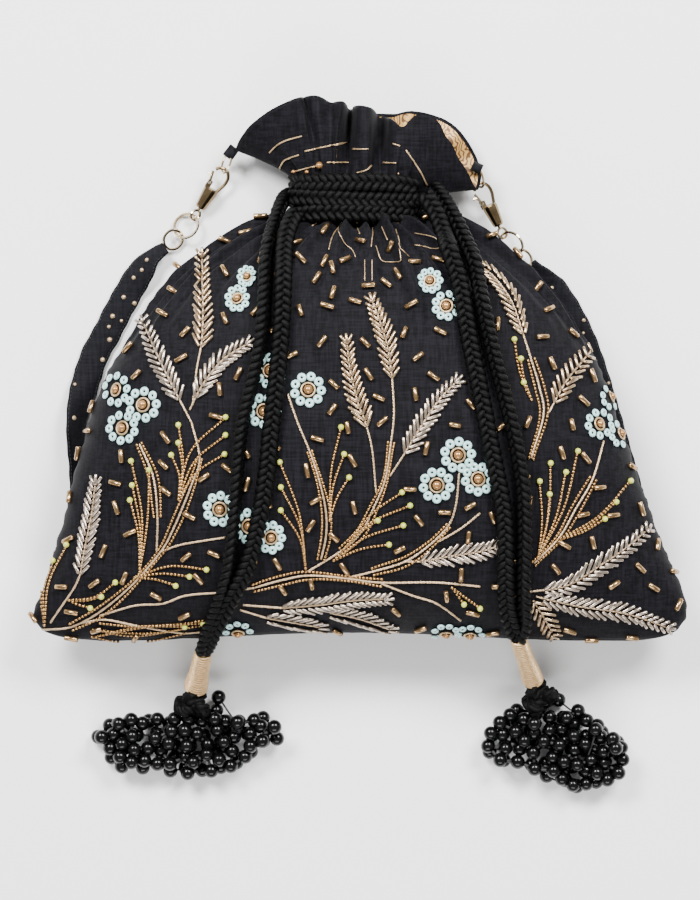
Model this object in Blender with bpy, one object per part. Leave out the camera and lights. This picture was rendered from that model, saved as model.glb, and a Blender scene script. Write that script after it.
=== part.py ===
"""Potli bag, drawn shut and lying on its back: a gathered pouch with a frill, two drawcords that end
in bead tassels, and a strap on two swivel clasps.

Units are metres; routes and sections are listed in millimetres. The back lies on z = 0, +Z is the
embroidered front and +Y points to the mouth.
"""

import math

import bmesh
import bpy
import numpy as np
from mathutils import Matrix, Vector

MM = 0.001

# Pouch: sections across the bag, from the seam at the bottom to the gathered neck.
# y, left edge, right edge, underside, height of the side edge, top of the crown
POUCH_SECTIONS = (
    (-117.2, -112, 117, 23.0, 25.0, 27.5),
    (-115.6, -128, 130, 17.5, 25.0, 33.0),
    (-111.5, -137, 137, 12.0, 24.5, 39.0),
    (-106.0, -140.4, 140.4, 7.0, 24.0, 45.0),
    (-98.0, -137.8, 139.6, 2.4, 24.0, 51.0),
    (-86.0, -133.6, 135.4, -1.5, 24.0, 56.5),
    (-66.0, -128.2, 127.0, -2.0, 24.0, 61.0),
    (-45.0, -122.8, 119.4, -2.0, 24.0, 63.0),
    (-24.0, -116.6, 112.0, -2.0, 24.0, 62.5),
    (-5.0, -109.8, 105.2, -2.0, 23.5, 60.5),
    (12.0, -99.8, 96.8, -2.0, 23.0, 57.5),
    (28.0, -88.0, 85.4, -1.5, 22.0, 53.5),
    (39.0, -77.4, 74.4, -1.0, 21.0, 49.5),
    (48.0, -64.6, 62.2, 0.5, 20.0, 44.5),
    (54.5, -53.6, 51.6, 2.0, 19.0, 39.5),
    (59.5, -41.0, 40.0, 4.4, 18.0, 33.5),
    (62.4, -24.2, 22.2, 8.0, 17.2, 26.6),
    (72.0, -23.2, 21.2, 8.5, 17.2, 26.0),
    (82.5, -23.2, 21.2, 8.5, 17.2, 26.0),
)
CROWN_FULLNESS = 2.4
BACK_FULLNESS = 4.0
BACK_ROUNDING = 0.7
SIDES = 48

# Neck: the oval that the drawcords run round.
NECK_X = -1.0 * MM
NECK_Z = 17.2 * MM
TURN_HALF_WIDTH = 27.8 * MM
TURN_HALF_HEIGHT = 14.0 * MM

# Frill: the cloth above the neck, spread like a fan.
FRILL_BASE_Y = 84.5 * MM
FAN_CENTRE_Y = 76.5 * MM
FAN_RIGHT_DEG = 12.0
FAN_LEFT_DEG = 163.0
# angle in the fan in degrees, radius of the rim in millimetres
FRILL_RIM = (
    (10, 49.5), (30, 53), (45, 51), (62, 40), (80, 37),
    (98, 38), (114, 44.6), (130, 51), (148, 55), (165, 57),
)
RIM_HALF_HEIGHT = 10.5 * MM
BASE_HALF_WIDTH = 22.0 * MM
BASE_HALF_HEIGHT = 8.5 * MM
RIM_Z = 16.0 * MM
PLEATS = 12
PLEAT_DEPTH = 1.5 * MM
FRILL_CLOTH = 0.9 * MM
LINING_CLOTH = 0.6 * MM
LINING_GAP = 0.7 * MM
# Levels of the frill between its base and its rim, and those of the lining's cup inside it.
FRILL_LEVELS = (0, 0.25, 0.5, 0.75, 1)
LINING_OUTER_LEVELS = (0.31, 0.5, 0.75, 0.98)
LINING_INNER_LEVELS = (0.98, 0.75, 0.5, 0.36)

# Drawcords: braided cord, each one piece from tassel to tassel round the neck.
CORD_RADIUS = 3.1 * MM
CORD_STEP = 9.5 * MM
TURN_STEP = 8.0 * MM
CORD_BEVEL = 2
CORD_GAP = 0.5 * MM
# Left drawcord: up the inner strand, two turns (angle round the neck, y), down the outer strand.
LEFT_INNER = (
    (-62.0, -121.0, 35.0), (-58.6, -113.0, 45.0), (-54.0, -101.0, 52.6), (-48.0, -85.0, 59.3),
    (-42.8, -66.0, 63.3), (-39.4, -46.0, 65.3), (-37.2, -24.0, 64.9), (-35.0, -4.0, 62.8),
    (-33.0, 14.0, 59.6), (-31.4, 32.0, 54.8), (-30.8, 43.0, 50.2), (-30.6, 52.0, 44.4),
    (-28.8, 59.6, 38.0), (-24.0, 65.2, 32.0),
)
LEFT_TURNS = (
    (122, 66.4), (90, 66.2), (55, 66.0), (15, 66.4), (-25, 67.4), (-60, 68.6), (-90, 69.4), (-120, 70.2),
    (-155, 71.4), (-195, 72.4), (-235, 72.7), (-270, 72.7), (-305, 72.7), (-345, 73.0), (-385, 74.0),
    (-420, 75.2), (-450, 75.8), (-472, 76.0),
)
LEFT_OUTER = (
    (-25.0, 75.8, 3.4), (-33.0, 75.0, 7.0), (-38.2, 73.0, 14.0), (-41.0, 69.0, 23.0), (-41.4, 62.0, 31.6),
    (-41.0, 54.0, 39.4), (-40.6, 45.0, 47.2), (-40.4, 32.0, 53.6), (-41.6, 14.0, 58.8), (-44.6, -4.0, 61.8),
    (-49.4, -24.0, 63.6), (-51.6, -46.0, 64.1), (-53.2, -66.0, 62.3), (-55.4, -85.0, 58.4),
    (-61.4, -101.0, 51.6), (-66.4, -112.5, 43.6), (-69.4, -122.6, 29.0),
)
# Right drawcord: up the inner strand, one turn above the left cord's two, down the outer strand.
RIGHT_INNER = (
    (64.4, -119.0, 37.5), (63.0, -110.0, 47.0), (61.6, -98.0, 53.4), (61.2, -80.0, 59.6), (60.4, -62.0, 61.7),
    (57.0, -44.0, 63.2), (53.4, -26.0, 63.0), (50.0, -8.0, 61.5), (46.4, 10.0, 58.6), (43.8, 26.0, 55.0),
    (41.8, 38.0, 50.6), (38.8, 48.0, 45.2), (36.6, 58.0, 38.6), (34.4, 67.0, 33.6), (28.0, 75.6, 31.0),
)
RIGHT_TURNS = (
    (58, 79.3), (90, 79.3), (125, 79.3), (165, 80.0), (205, 81.4), (240, 82.5), (270, 82.6), (292, 82.6),
)
RIGHT_OUTER = (
    (22.0, 82.3, 3.4), (31.0, 81.0, 7.0), (36.8, 78.4, 14.0), (40.6, 73.4, 23.0), (43.6, 65.0, 31.4),
    (46.2, 55.0, 38.0), (48.6, 45.0, 45.0), (50.4, 34.0, 50.3), (53.0, 20.0, 54.8), (56.8, 3.0, 58.3),
    (61.4, -15.0, 60.5), (65.4, -33.0, 60.9), (68.4, -52.0, 61.1), (69.0, -70.0, 59.5), (68.8, -86.0, 56.7),
    (69.2, -99.0, 52.6), (70.0, -110.0, 47.4), (71.6, -121.2, 31.0),
)

# Tassels: a gold thread wrap, a knot and bead strands. Beads are (x, y) of their centres; the first
# bead of a strand is the one next to the knot.
WRAP_TOP_RADIUS = 5.4 * MM
WRAP_END_RADIUS = 6.0 * MM
KNOT_SIDE = 7.6 * MM
KNOT_LENGTH = 6.4 * MM
KNOT_HEIGHT = 6.6 * MM
BEAD_RADIUS = 3.2 * MM
BEAD_CLEARANCE = 0.5 * MM
BEAD_SIDES = 6
LEFT_WRAP = ((-66.8, -126.2, 26.0), (-71.0, -138.0, 12.0))
RIGHT_WRAP = ((69.4, -125.0, 28.0), (75.0, -134.8, 13.4))
LEFT_KNOT = (-72.4, -145.4, 6.9)
RIGHT_KNOT = (77.6, -141.8, 6.9)
LEFT_STRANDS = (
    ((-83, -154), (-92, -153), (-101, -154), (-109, -155), (-114, -160)),
    ((-80.5, -151.8), (-88.5, -158.5), (-97, -159), (-107, -158.5), (-103, -165), (-108.5, -164.5)),
    ((-76, -156.5), (-81, -163), (-86.5, -165.5), (-92, -164.5), (-98, -169), (-103.5, -172.5)),
    ((-68, -159.5), (-74, -164), (-70.5, -169), (-76, -173.5), (-82.5, -174.5)),
    ((-59, -157), (-56, -166), (-63, -167), (-60.5, -173)),
    ((-62.5, -148.5), (-58.5, -153), (-49, -158.5), (-47.5, -166.5), (-42, -161.5), (-36, -160.5)),
    ((-61.5, -142.5), (-53, -153), (-46, -152.5), (-43, -155), (-37, -155)),
)
RIGHT_STRANDS = (
    ((68.5, -148.5), (62.5, -154.5), (57.5, -159), (56.5, -166.5), (63, -164)),
    ((71, -152), (67.5, -157), (69.5, -165), (68.5, -170.5)),
    ((75.5, -153.5), (77, -163), (85.5, -166.5), (92.5, -173), (81.5, -177), (94.5, -181.5)),
    ((83.5, -156), (89.5, -161.5), (98.5, -166), (106.5, -170.5), (111.5, -174.5)),
    ((88.5, -151.5), (98.5, -159.5), (104.5, -159.5), (109.5, -160), (110.5, -164)),
    ((86.5, -144), (96.5, -152), (102, -156), (98, -174.5), (107.5, -178)),
)

# Strap: a flat band that runs in the space under the pouch's overhanging rim.
STRAP_HALF_WIDTH = 6.0 * MM
STRAP_END_HALF_WIDTH = 2.6 * MM
STRAP_HALF_THICKNESS = 0.8 * MM
STRAP_TAPER = 14.0 * MM
STRAP_STEP = 14.0 * MM
FLOOR_GAP = 0.1 * MM
# x, y, height of the centre line, tilt about the centre line in degrees
STRAP_ROUTE = (
    (-90.6, 48.8, 3.6, -28), (-95.4, 42.6, 2.8, -14), (-100.2, 35, 1.4, 0), (-106.2, 24.3, 0.9, 0),
    (-110.4, 16, 0.9, 0), (-115.4, 7, 0.9, 0), (-118.7, -2.4, 1.0, 2), (-121.4, -12.7, 3.3, 22),
    (-123.2, -21.7, 5.2, 44), (-123.4, -31.2, 5.6, 50), (-122.0, -40, 4.9, 40), (-120.6, -50, 3.1, 18),
    (-120.4, -62, 0.9, 0), (-122.2, -76, 0.9, 0), (-123.2, -88, 0.9, 0), (-119.6, -98.4, 0.9, 0),
    (-110, -104.6, 0.9, 0), (-94, -106.4, 0.9, 0), (-60, -106.4, 0.9, 0), (-20, -106.4, 0.9, 0),
    (20, -106.4, 0.9, 0), (60, -106.4, 0.9, 0), (94, -106.4, 0.9, 0), (110, -104.6, 0.9, 0),
    (120.6, -97.6, 0.9, 0), (124.4, -86, 0.9, 0), (122, -70, 0.9, 0), (115.4, -46, 0.9, 0),
    (109, -24, 0.9, 0), (103, -4, 0.9, 0), (97.4, 12, 0.9, 0), (91, 25, 1.0, 0), (84.6, 34.6, 1.6, 4),
    (77.4, 42.8, 3.6, 24),
)

# Swivel clasp, along its own x axis from the nose to the eye, y across, z up.
CLASP_WIRE = 0.75 * MM
NOSE_PLAY = 0.5 * MM
LINK_HALF_LENGTH = 4.5 * MM
LINK_HALF_WIDTH = 2.9 * MM
LINK_WIRE = 0.55 * MM
NOSE_ROUTE = (
    (10.2, 2.1), (7.6, 2.9), (4.6, 3.7), (1.6, 3.5),
    (-0.5, 2.0), (-1.2, 0), (-0.5, -2.0), (0.9, -3.2),
)
BARREL_PROFILE = (
    (9.0, 0), (9.0, 2.9), (9.6, 3.3), (11.0, 3.3), (18.2, 2.4), (19.0, 2.0),
    (19.0, 1.1), (15.6, 1.1), (15.6, 1.8), (13.4, 1.8), (13.4, 0),
)
STUD_PROFILE = ((13.8, 0), (13.8, 1.4), (15.1, 1.4), (15.1, 0.75), (20.5, 0.75), (20.5, 0))
EYE_X = 22.7 * MM
EYE_RADIUS = 2.3 * MM
EYE_WIRE = 0.6 * MM
GATE_HINGE = (7.2, -2.5)
GATE_TIP = (2.1, -3.8)
GATE_WIRE = 0.65 * MM
PIN_RADIUS = 0.4 * MM
PIN_HOLE = 0.58 * MM
KNUCKLE_RADIUS = 1.05 * MM
KNUCKLE_HALF_WIDTH = 0.6 * MM
EAR_INNER = 0.85 * MM
EAR_OUTER = 1.35 * MM
BIG_RING = 5.6 * MM
SMALL_RING = 4.4 * MM
RING_WIRE = 0.65 * MM
RING_PLAY = 0.45 * MM
TAB_RADIUS = 2.1 * MM
TAB_HOLE = 1.5 * MM
TAB_HALF_WIDTH = 1.6 * MM
TAB_SHIFT = 0.3 * MM
TAB_HALF_THICKNESS = 0.8 * MM
STRAP_LOOP_RADIUS = 2.4 * MM
STRAP_LOOP_HOLE = 1.6 * MM
STRAP_LOOP_SHIFT = -0.4 * MM

# side: the link's pivot in the frill's tab, the headings of link, clasp and rings in the xy plane,
# their slopes and their rolls, all in degrees
SIDES_OF_BAG = {
    "left": {
        "pivot": (-56.4, 93.6, 9.6), "tab_root": (-53.6, 95.2, 11.8),
        "link": (-113, -20, 52), "hook": (-123, -8, -12), "eye_roll": -42,
        "big_ring": (-132, 0, 26), "small_ring": (-133, 2, -30),
    },
    "right": {
        "pivot": (50.6, 87.2, 13.4), "tab_root": (49.2, 90.8, 14.4),
        "link": (-78, -22, 52), "hook": (-64, -9, -14), "eye_roll": -30,
        "big_ring": (-50, 0, 40), "small_ring": (-54, 0, -32),
    },
}

CLOTH = ("cloth", (0.030, 0.031, 0.050), 0.75, 0.0)
BROCADE = ("brocade", (0.560, 0.350, 0.120), 0.50, 0.2)
BRAID = ("braid", (0.012, 0.012, 0.013), 0.60, 0.0)
GOLD_THREAD = ("gold_thread", (0.760, 0.560, 0.340), 0.45, 0.3)
BEAD = ("bead", (0.006, 0.006, 0.008), 0.12, 0.0)
BRONZE = ("bronze_metal", (0.330, 0.230, 0.130), 0.32, 1.0)
PALE_GOLD = ("pale_gold_metal", (0.720, 0.580, 0.380), 0.28, 1.0)


def clear_scene():
    for old in list(bpy.data.objects):
        bpy.data.objects.remove(old, do_unlink=True)


def material(spec):
    name, colour, roughness, metallic = spec
    made = bpy.data.materials.get(name)
    if made:
        return made
    made = bpy.data.materials.get(name)
    if made:
        return made
    made = bpy.data.materials.new(name)
    made.use_nodes = True
    shader = made.node_tree.nodes["Principled BSDF"]
    shader.inputs["Base Color"].default_value = (*colour, 1.0)
    shader.inputs["Roughness"].default_value = roughness
    shader.inputs["Metallic"].default_value = metallic
    return made


def mesh_object(name, bm, spec, matrix=None):
    """Turns a finished bmesh into an object of its own material, placed by its matrix."""
    bmesh.ops.recalc_face_normals(bm, faces=bm.faces)
    if bm.calc_volume(signed=True) < 0:
        bmesh.ops.reverse_faces(bm, faces=bm.faces)
    mesh = bpy.data.meshes.new(name)
    bm.to_mesh(mesh)
    bm.free()
    mesh.shade_smooth()
    mesh.set_sharp_from_angle(angle=math.radians(40))
    mesh.materials.append(material(spec))
    made = bpy.data.objects.new(name, mesh)
    bpy.context.scene.collection.objects.link(made)
    if matrix:
        made.matrix_world = matrix
    return made


def smooth_route(points, step):
    """Points about one step apart on a smooth curve through the given ones, any number of columns."""
    knots = np.array(points, float)
    padded = np.vstack([2 * knots[0] - knots[1], knots, 2 * knots[-1] - knots[-2]])
    fine = []
    for a, b, c, d in zip(padded, padded[1:], padded[2:], padded[3:]):
        for t in np.linspace(0, 1, 16, endpoint=False):
            cubic = 2 * b + (c - a) * t + (2 * a - 5 * b + 4 * c - d) * t**2 + (3 * b - a - 3 * c + d) * t**3
            fine.append(0.5 * cubic)
    fine = np.array([*fine, knots[-1]])
    steps = np.linalg.norm(np.diff(fine[:, :3], axis=0), axis=1)
    along = np.concatenate([[0], np.cumsum(steps)])
    even = np.linspace(0, along[-1], max(2, round(along[-1] / step) + 1))
    return np.column_stack([np.interp(even, along, column) for column in fine.T])


def loft(bm, rings, closed=False):
    """Skins a row of equal rings. An open row gets a face over each end."""
    rows = [[bm.verts.new(point) for point in ring] for ring in rings]
    pairs = list(zip(rows, rows[1:]))
    if closed:
        pairs.append((rows[-1], rows[0]))
    for low, high in pairs:
        for i in range(len(low)):
            j = (i + 1) % len(low)
            bm.faces.new((low[i], low[j], high[j], high[i]))
    if not closed:
        bm.faces.new(rows[0])
        bm.faces.new(rows[-1])
    return bm


def frames_along(points, closed=False):
    """A (point, side, up) frame for each point, turned as little as possible from one to the next."""
    count = len(points)
    points = [Vector(point) for point in points]
    tangents = []
    for i in range(count):
        before = points[i - 1] if closed or i else points[0]
        after = points[(i + 1) % count] if closed or i < count - 1 else points[-1]
        tangents.append((after - before).normalized())
    up = Vector((0, 0, 1))
    if abs(tangents[0].z) > 0.9:
        up = Vector((0, 1, 0))
    frames = []
    for point, tangent in zip(points, tangents):
        side = tangent.cross(up).normalized()
        up = side.cross(tangent).normalized()
        frames.append((point, side, up))
    return frames


def tube_rings(points, radius, sides, closed=False):
    rings = []
    for point, side, up in frames_along(points, closed):
        turn = [2 * math.pi * i / sides for i in range(sides)]
        rings.append([point + radius * (math.cos(a) * side + math.sin(a) * up) for a in turn])
    return rings


def lathe_rings(profile, sides=12):
    """Rings about the x axis for a profile of (x, radius) in millimetres, with its end points on the axis."""
    rings = []
    for x, radius in profile[1:-1]:
        turn = [2 * math.pi * i / sides for i in range(sides)]
        rings.append([Vector((x, radius * math.cos(a), radius * math.sin(a))) * MM for a in turn])
    return rings


def cutter(name, bm, matrix=None):
    made = mesh_object(name, bm, PALE_GOLD, matrix)
    made.hide_render = True
    made.display_type = "WIRE"
    return made


def boolean(target, operation, other):
    step = target.modifiers.new(operation.lower() + "_" + other.name, "BOOLEAN")
    step.operation = operation
    step.object = other


def placed(origin, heading, slope, roll):
    """A frame whose x axis points along the heading and slope, and whose z axis is rolled from upright."""
    turn = Matrix.Rotation(math.radians(heading), 4, "Z")
    dip = Matrix.Rotation(math.radians(-slope), 4, "Y")
    lean = Matrix.Rotation(math.radians(roll), 4, "X")
    return Matrix.Translation(origin) @ turn @ dip @ lean


def pouch_ring(section):
    """One cross-section of the pouch: a domed front, and a back pressed flat on z = 0."""
    y, left, right, under, edge, top = (value * MM for value in section)
    ring = []
    for i in range(SIDES):
        angle = 2 * math.pi * i / SIDES
        across, rise = math.cos(angle), math.sin(angle)
        reach = right if across > 0 else -left
        if rise >= 0:
            share = abs(across) ** (2 / CROWN_FULLNESS)
            z = edge + (top - edge) * rise
        else:
            share = abs(across) ** 0.6
            z = edge - (edge - under) * (1 - share**BACK_FULLNESS) ** BACK_ROUNDING
        ring.append(Vector((math.copysign(share, across) * reach, y, max(z, 0))))
    return ring


def rim_radius(angle):
    angles, radii = zip(*FRILL_RIM)
    return np.interp(angle, angles, radii) * MM


def frill_point(turn, height):
    """A point on the frill's outer surface. Turn goes once round, from the right over the front."""
    across, rise = math.cos(turn), math.sin(turn)
    base = Vector((NECK_X + BASE_HALF_WIDTH * across, FRILL_BASE_Y, NECK_Z + BASE_HALF_HEIGHT * rise))
    share = math.acos(across) / math.pi
    fan = FAN_RIGHT_DEG + (FAN_LEFT_DEG - FAN_RIGHT_DEG) * share
    radius = rim_radius(fan)
    fan = math.radians(fan)
    rim = Vector((NECK_X + radius * math.cos(fan), FAN_CENTRE_Y + radius * math.sin(fan), RIM_Z))
    lift = RIM_HALF_HEIGHT * math.copysign(abs(rise) ** 0.7, rise)
    pleat = PLEAT_DEPTH * math.cos(PLEATS * turn) * min(1, 2.5 * abs(rise))
    rim.z += lift + pleat
    return base.lerp(rim, height)


def frill_inside(turn, height, depth):
    """The same point moved in through the cloth."""
    step = 0.01
    along = frill_point(turn + step, height) - frill_point(turn - step, height)
    up = frill_point(turn, height + step) - frill_point(turn, height - step)
    return frill_point(turn, height) + depth * along.cross(up).normalized()


def frill_ring(height, depth):
    return [frill_inside(2 * math.pi * i / SIDES, height, depth) for i in range(SIDES)]


def bag_shell():
    """Pouch and frill are one cloth: out over the frill's front, over its rim and down inside it."""
    rings = [pouch_ring(section) for section in POUCH_SECTIONS]
    rings += [frill_ring(level, 0) for level in FRILL_LEVELS]
    rings += [frill_ring(level, FRILL_CLOTH) for level in reversed(FRILL_LEVELS[1:])]
    return mesh_object("bag_shell", loft(bmesh.new(), rings), CLOTH)


def lining():
    """The brocade cup inside the frill."""
    outside = FRILL_CLOTH + LINING_GAP
    rings = [frill_ring(level, outside) for level in LINING_OUTER_LEVELS]
    rings += [frill_ring(level, outside + LINING_CLOTH) for level in LINING_INNER_LEVELS]
    return mesh_object("lining", loft(bmesh.new(), rings), BROCADE)


def cord(name, points):
    """A round cord on the given points, as a curve with filled ends."""
    curve = bpy.data.curves.new(name, "CURVE")
    curve.dimensions = "3D"
    curve.bevel_depth = CORD_RADIUS
    curve.bevel_resolution = CORD_BEVEL
    curve.use_fill_caps = True
    spline = curve.splines.new("POLY")
    spline.points.add(len(points) - 1)
    for slot, point in zip(spline.points, points):
        slot.co = (*point, 1.0)
    curve.materials.append(material(BRAID))
    made = bpy.data.objects.new(name, curve)
    bpy.context.scene.collection.objects.link(made)
    return made


def turn_points(turns):
    """Places on the oval round the neck, for (degrees from the right over the front, y in millimetres)."""
    found = []
    for degrees, y in turns:
        angle = math.radians(degrees)
        x = NECK_X + TURN_HALF_WIDTH * math.cos(angle)
        z = NECK_Z + TURN_HALF_HEIGHT * math.sin(angle)
        found.append((x / MM, y, z / MM))
    return found


def cut_between(whole, start, end):
    """The stretch of an evenly sampled route between two of its places, half a gap short at each."""
    first = np.argmin(np.linalg.norm(whole - np.array(start), axis=1))
    last = np.argmin(np.linalg.norm(whole - np.array(end), axis=1))
    part = whole[first : last + 1].copy()
    part[0] += (part[1] - part[0]) / np.linalg.norm(part[1] - part[0]) * CORD_GAP / MM / 2
    part[-1] += (part[-2] - part[-1]) / np.linalg.norm(part[-2] - part[-1]) * CORD_GAP / MM / 2
    return part


def thin_out(points, step):
    """Fewer points, about one step apart. A close pair at each end squares its face to the route."""
    length = np.linalg.norm(np.diff(points, axis=0), axis=1).sum()
    keep = np.round(np.linspace(0, len(points) - 1, max(2, round(length * MM / step) + 1))).astype(int)
    keep = sorted({*keep, 2, len(points) - 3})
    return [Vector(points[i]) * MM for i in keep]


def drawcord(side, inner, turns, outer):
    """One drawcord on one smooth route: its inner strand, its turns round the neck, its outer strand."""
    route = [*inner, *turn_points(turns), *outer]
    whole = smooth_route(route, 0.5)
    cord(f"cord_{side}_inner", thin_out(cut_between(whole, inner[0], inner[-1]), CORD_STEP))
    cord(f"neck_turns_{side}", thin_out(cut_between(whole, inner[-1], outer[2]), TURN_STEP))
    cord(f"cord_{side}_outer", thin_out(cut_between(whole, outer[2], outer[-1]), CORD_STEP))


def thread_wrap(side, ends):
    start, end = (Vector(point) * MM for point in ends)
    along = end - start
    radii = (WRAP_TOP_RADIUS, WRAP_TOP_RADIUS, WRAP_TOP_RADIUS * 1.08, WRAP_END_RADIUS)
    frames = frames_along([start.lerp(end, share) for share in (0, 0.3, 0.65, 1)])
    rings = []
    for (point, across, up), radius in zip(frames, radii):
        turn = [2 * math.pi * i / 14 for i in range(14)]
        rings.append([point + radius * (math.cos(a) * across + math.sin(a) * up) for a in turn])
    made = mesh_object(f"thread_wrap_{side}", loft(bmesh.new(), rings), GOLD_THREAD)
    return made, along


def knot(side, centre, along):
    """A round cord knot below the wrap, longer across than along the cord."""
    bm = bmesh.new()
    bmesh.ops.create_uvsphere(bm, u_segments=12, v_segments=8, radius=1)
    heading = math.degrees(math.atan2(along.y, along.x))
    size = Matrix.Diagonal((KNOT_LENGTH, KNOT_SIDE, KNOT_HEIGHT, 1))
    bmesh.ops.transform(bm, matrix=placed(Vector(centre) * MM, heading, 0, 0) @ size, verts=bm.verts)
    return mesh_object(f"cord_knot_{side}", bm, BRAID)


def settled(strands):
    """Heights for beads that lie on the floor or on the beads below them, one after another."""
    spacing = 2 * BEAD_RADIUS + BEAD_CLEARANCE
    placed_beads = []
    found = []
    for strand in strands:
        row = []
        for x, y in strand:
            x, y = x * MM, y * MM
            z = BEAD_RADIUS + 0.0001
            for other in placed_beads:
                apart = math.hypot(x - other.x, y - other.y)
                if apart < spacing:
                    z = max(z, other.z + math.sqrt(spacing**2 - apart**2))
            placed_beads.append(Vector((x, y, z)))
            row.append(placed_beads[-1])
        found.append(row)
    return found


def bead_strand(name, beads):
    """Beads threaded on one string: a body whose radius swells at every bead."""
    rings = []
    for i, bead in enumerate(beads):
        before = beads[i - 1] if i else bead
        after = beads[i + 1] if i < len(beads) - 1 else bead
        along = (after - before).normalized()
        side = along.cross(Vector((0, 0, 1))).normalized()
        up = side.cross(along)
        for place, radius in ((-0.94, 0.26), (-0.5, 0.866), (0.5, 0.866), (0.94, 0.26)):
            centre = bead + place * BEAD_RADIUS * along
            turn = [2 * math.pi * (j + 0.5) / BEAD_SIDES for j in range(BEAD_SIDES)]
            size = radius * BEAD_RADIUS
            rings.append([centre + size * (math.cos(a) * side + math.sin(a) * up) for a in turn])
    return mesh_object(name, loft(bmesh.new(), rings), BEAD)


def tassel(side, wrap_ends, knot_centre, strands):
    _, along = thread_wrap(side, wrap_ends)
    knot(side, knot_centre, along)
    for number, beads in enumerate(settled(strands), 1):
        bead_strand(f"bead_strand_{side}_{number}", beads)


def band_ring(point, side, up, half_width, half_thickness):
    """The band's section: a thin rectangle with rounded edges."""
    edge = half_width - half_thickness * 0.6
    thin = half_thickness * 0.5
    outline = (
        (-edge, half_thickness), (edge, half_thickness), (half_width, thin), (half_width, -thin),
        (edge, -half_thickness), (-edge, -half_thickness), (-half_width, -thin), (-half_width, thin),
    )
    return [point + a * side + b * up for a, b in outline]


def strap(loops):
    """The band with its two ends folded round the small rings."""
    route = smooth_route([(x, y, z, tilt) for x, y, z, tilt in STRAP_ROUTE], STRAP_STEP / MM)
    ends = [loops["left"], *[Vector(row[:3]) * MM for row in route], loops["right"]]
    tilts = [route[0][3], *[row[3] for row in route], route[-1][3]]
    walked = np.cumsum([0] + [(b - a).length for a, b in zip(ends, ends[1:])])
    rings = []
    for i, (point, tilt) in enumerate(zip(ends, tilts)):
        before, after = ends[max(i - 1, 0)], ends[min(i + 1, len(ends) - 1)]
        along = (after - before).normalized()
        side = along.cross(Vector((0, 0, 1))).normalized()
        lean = Matrix.Rotation(math.radians(tilt), 3, along)
        near_end = min(walked[i], walked[-1] - walked[i])
        share = float(min(1, near_end / STRAP_TAPER))
        half_width = STRAP_END_HALF_WIDTH + (STRAP_HALF_WIDTH - STRAP_END_HALF_WIDTH) * share
        edge_drop = half_width * abs(math.sin(math.radians(tilt))) + STRAP_HALF_THICKNESS
        point.z = max(point.z, edge_drop + FLOOR_GAP)
        up = side.cross(along)
        rings.append(band_ring(point, lean @ side, lean @ up, half_width, STRAP_HALF_THICKNESS))
    return mesh_object("strap", loft(bmesh.new(), rings), CLOTH)


def rod(bm, start, end, radius, sides=12):
    return loft(bm, tube_rings([start, end], radius, sides))


def fold_loop(owner, name, frame, radius, hole, half_width):
    """Adds a rolled cloth loop round a wire that runs along the frame's y axis."""
    across = Vector((0, half_width, 0))
    roll = cutter(f"{name}_roll", rod(bmesh.new(), -across, across, radius), frame)
    bore = cutter(f"{name}_bore", rod(bmesh.new(), -across * 2, across * 2, hole), frame)
    boolean(owner, "UNION", roll)
    boolean(owner, "DIFFERENCE", bore)


def oval(half_length, half_width, count):
    """A link's centre line in its own xy plane, with its near end at the origin."""
    points = []
    for i in range(count):
        angle = 2 * math.pi * i / count
        x = half_length * (1 - math.cos(angle))
        y = half_width * math.copysign(abs(math.sin(angle)) ** 0.8, math.sin(angle))
        points.append(Vector((x, y, 0)))
    return points


def wire_loop(name, points, wire, spec, matrix):
    return mesh_object(name, loft(bmesh.new(), tube_rings(points, wire, 6, True), True), spec, matrix)


def ring(name, radius, matrix):
    """A round wire ring about its own origin."""
    turn = [2 * math.pi * i / 24 for i in range(24)]
    points = [Vector((radius * math.cos(a), radius * math.sin(a), 0)) for a in turn]
    return wire_loop(name, points, RING_WIRE, PALE_GOLD, matrix)


def frill_tab(side, data, link_frame):
    """A short cloth tab from the frill's corner, folded round the link."""
    loop_frame = link_frame @ Matrix.Translation((TAB_SHIFT, 0, 0))
    root, end = Vector(data["tab_root"]) * MM, loop_frame.translation
    along = (end - root).normalized()
    across = link_frame.to_3x3() @ Vector((0, 1, 0))
    up = across.cross(along).normalized()
    across = along.cross(up)
    rings = [
        band_ring(root.lerp(end, share), across, up, TAB_HALF_WIDTH, TAB_HALF_THICKNESS)
        for share in (0, 0.5, 0.9)
    ]
    made = mesh_object(f"frill_tab_{side}", loft(bmesh.new(), rings), CLOTH)
    fold_loop(made, f"frill_tab_{side}", loop_frame, TAB_RADIUS, TAB_HOLE, TAB_HALF_WIDTH)


def clasp_hook(side, frame):
    """Barrel and bent nose in one casting, with two ears for the gate's pin."""
    body = mesh_object(f"clasp_hook_{side}", loft(bmesh.new(), lathe_rings(BARREL_PROFILE)), BRONZE, frame)
    nose = smooth_route([(x, y, 0) for x, y in NOSE_ROUTE], 1.3) * MM
    boolean(body, "UNION", cutter(f"nose_{side}", loft(bmesh.new(), tube_rings(nose, CLASP_WIRE, 8)), frame))
    x, y = (value * MM for value in GATE_HINGE)
    for low, high in ((EAR_INNER, EAR_OUTER), (-EAR_OUTER, -EAR_INNER)):
        bm = bmesh.new()
        bmesh.ops.create_cube(bm, size=1)
        size = Matrix.Diagonal((3.6 * MM, 2.0 * MM, high - low, 1))
        middle = Matrix.Translation((x + 0.8 * MM, y + 0.1 * MM, (low + high) / 2))
        bmesh.ops.transform(bm, matrix=middle @ size, verts=bm.verts)
        boolean(body, "UNION", cutter(f"ear_{side}_{'low' if high < 0 else 'high'}", bm, frame))
    hole = rod(bmesh.new(), Vector((x, y, -3 * MM)), Vector((x, y, 3 * MM)), PIN_HOLE)
    boolean(body, "DIFFERENCE", cutter(f"ear_hole_{side}", hole, frame))
    return body


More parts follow.
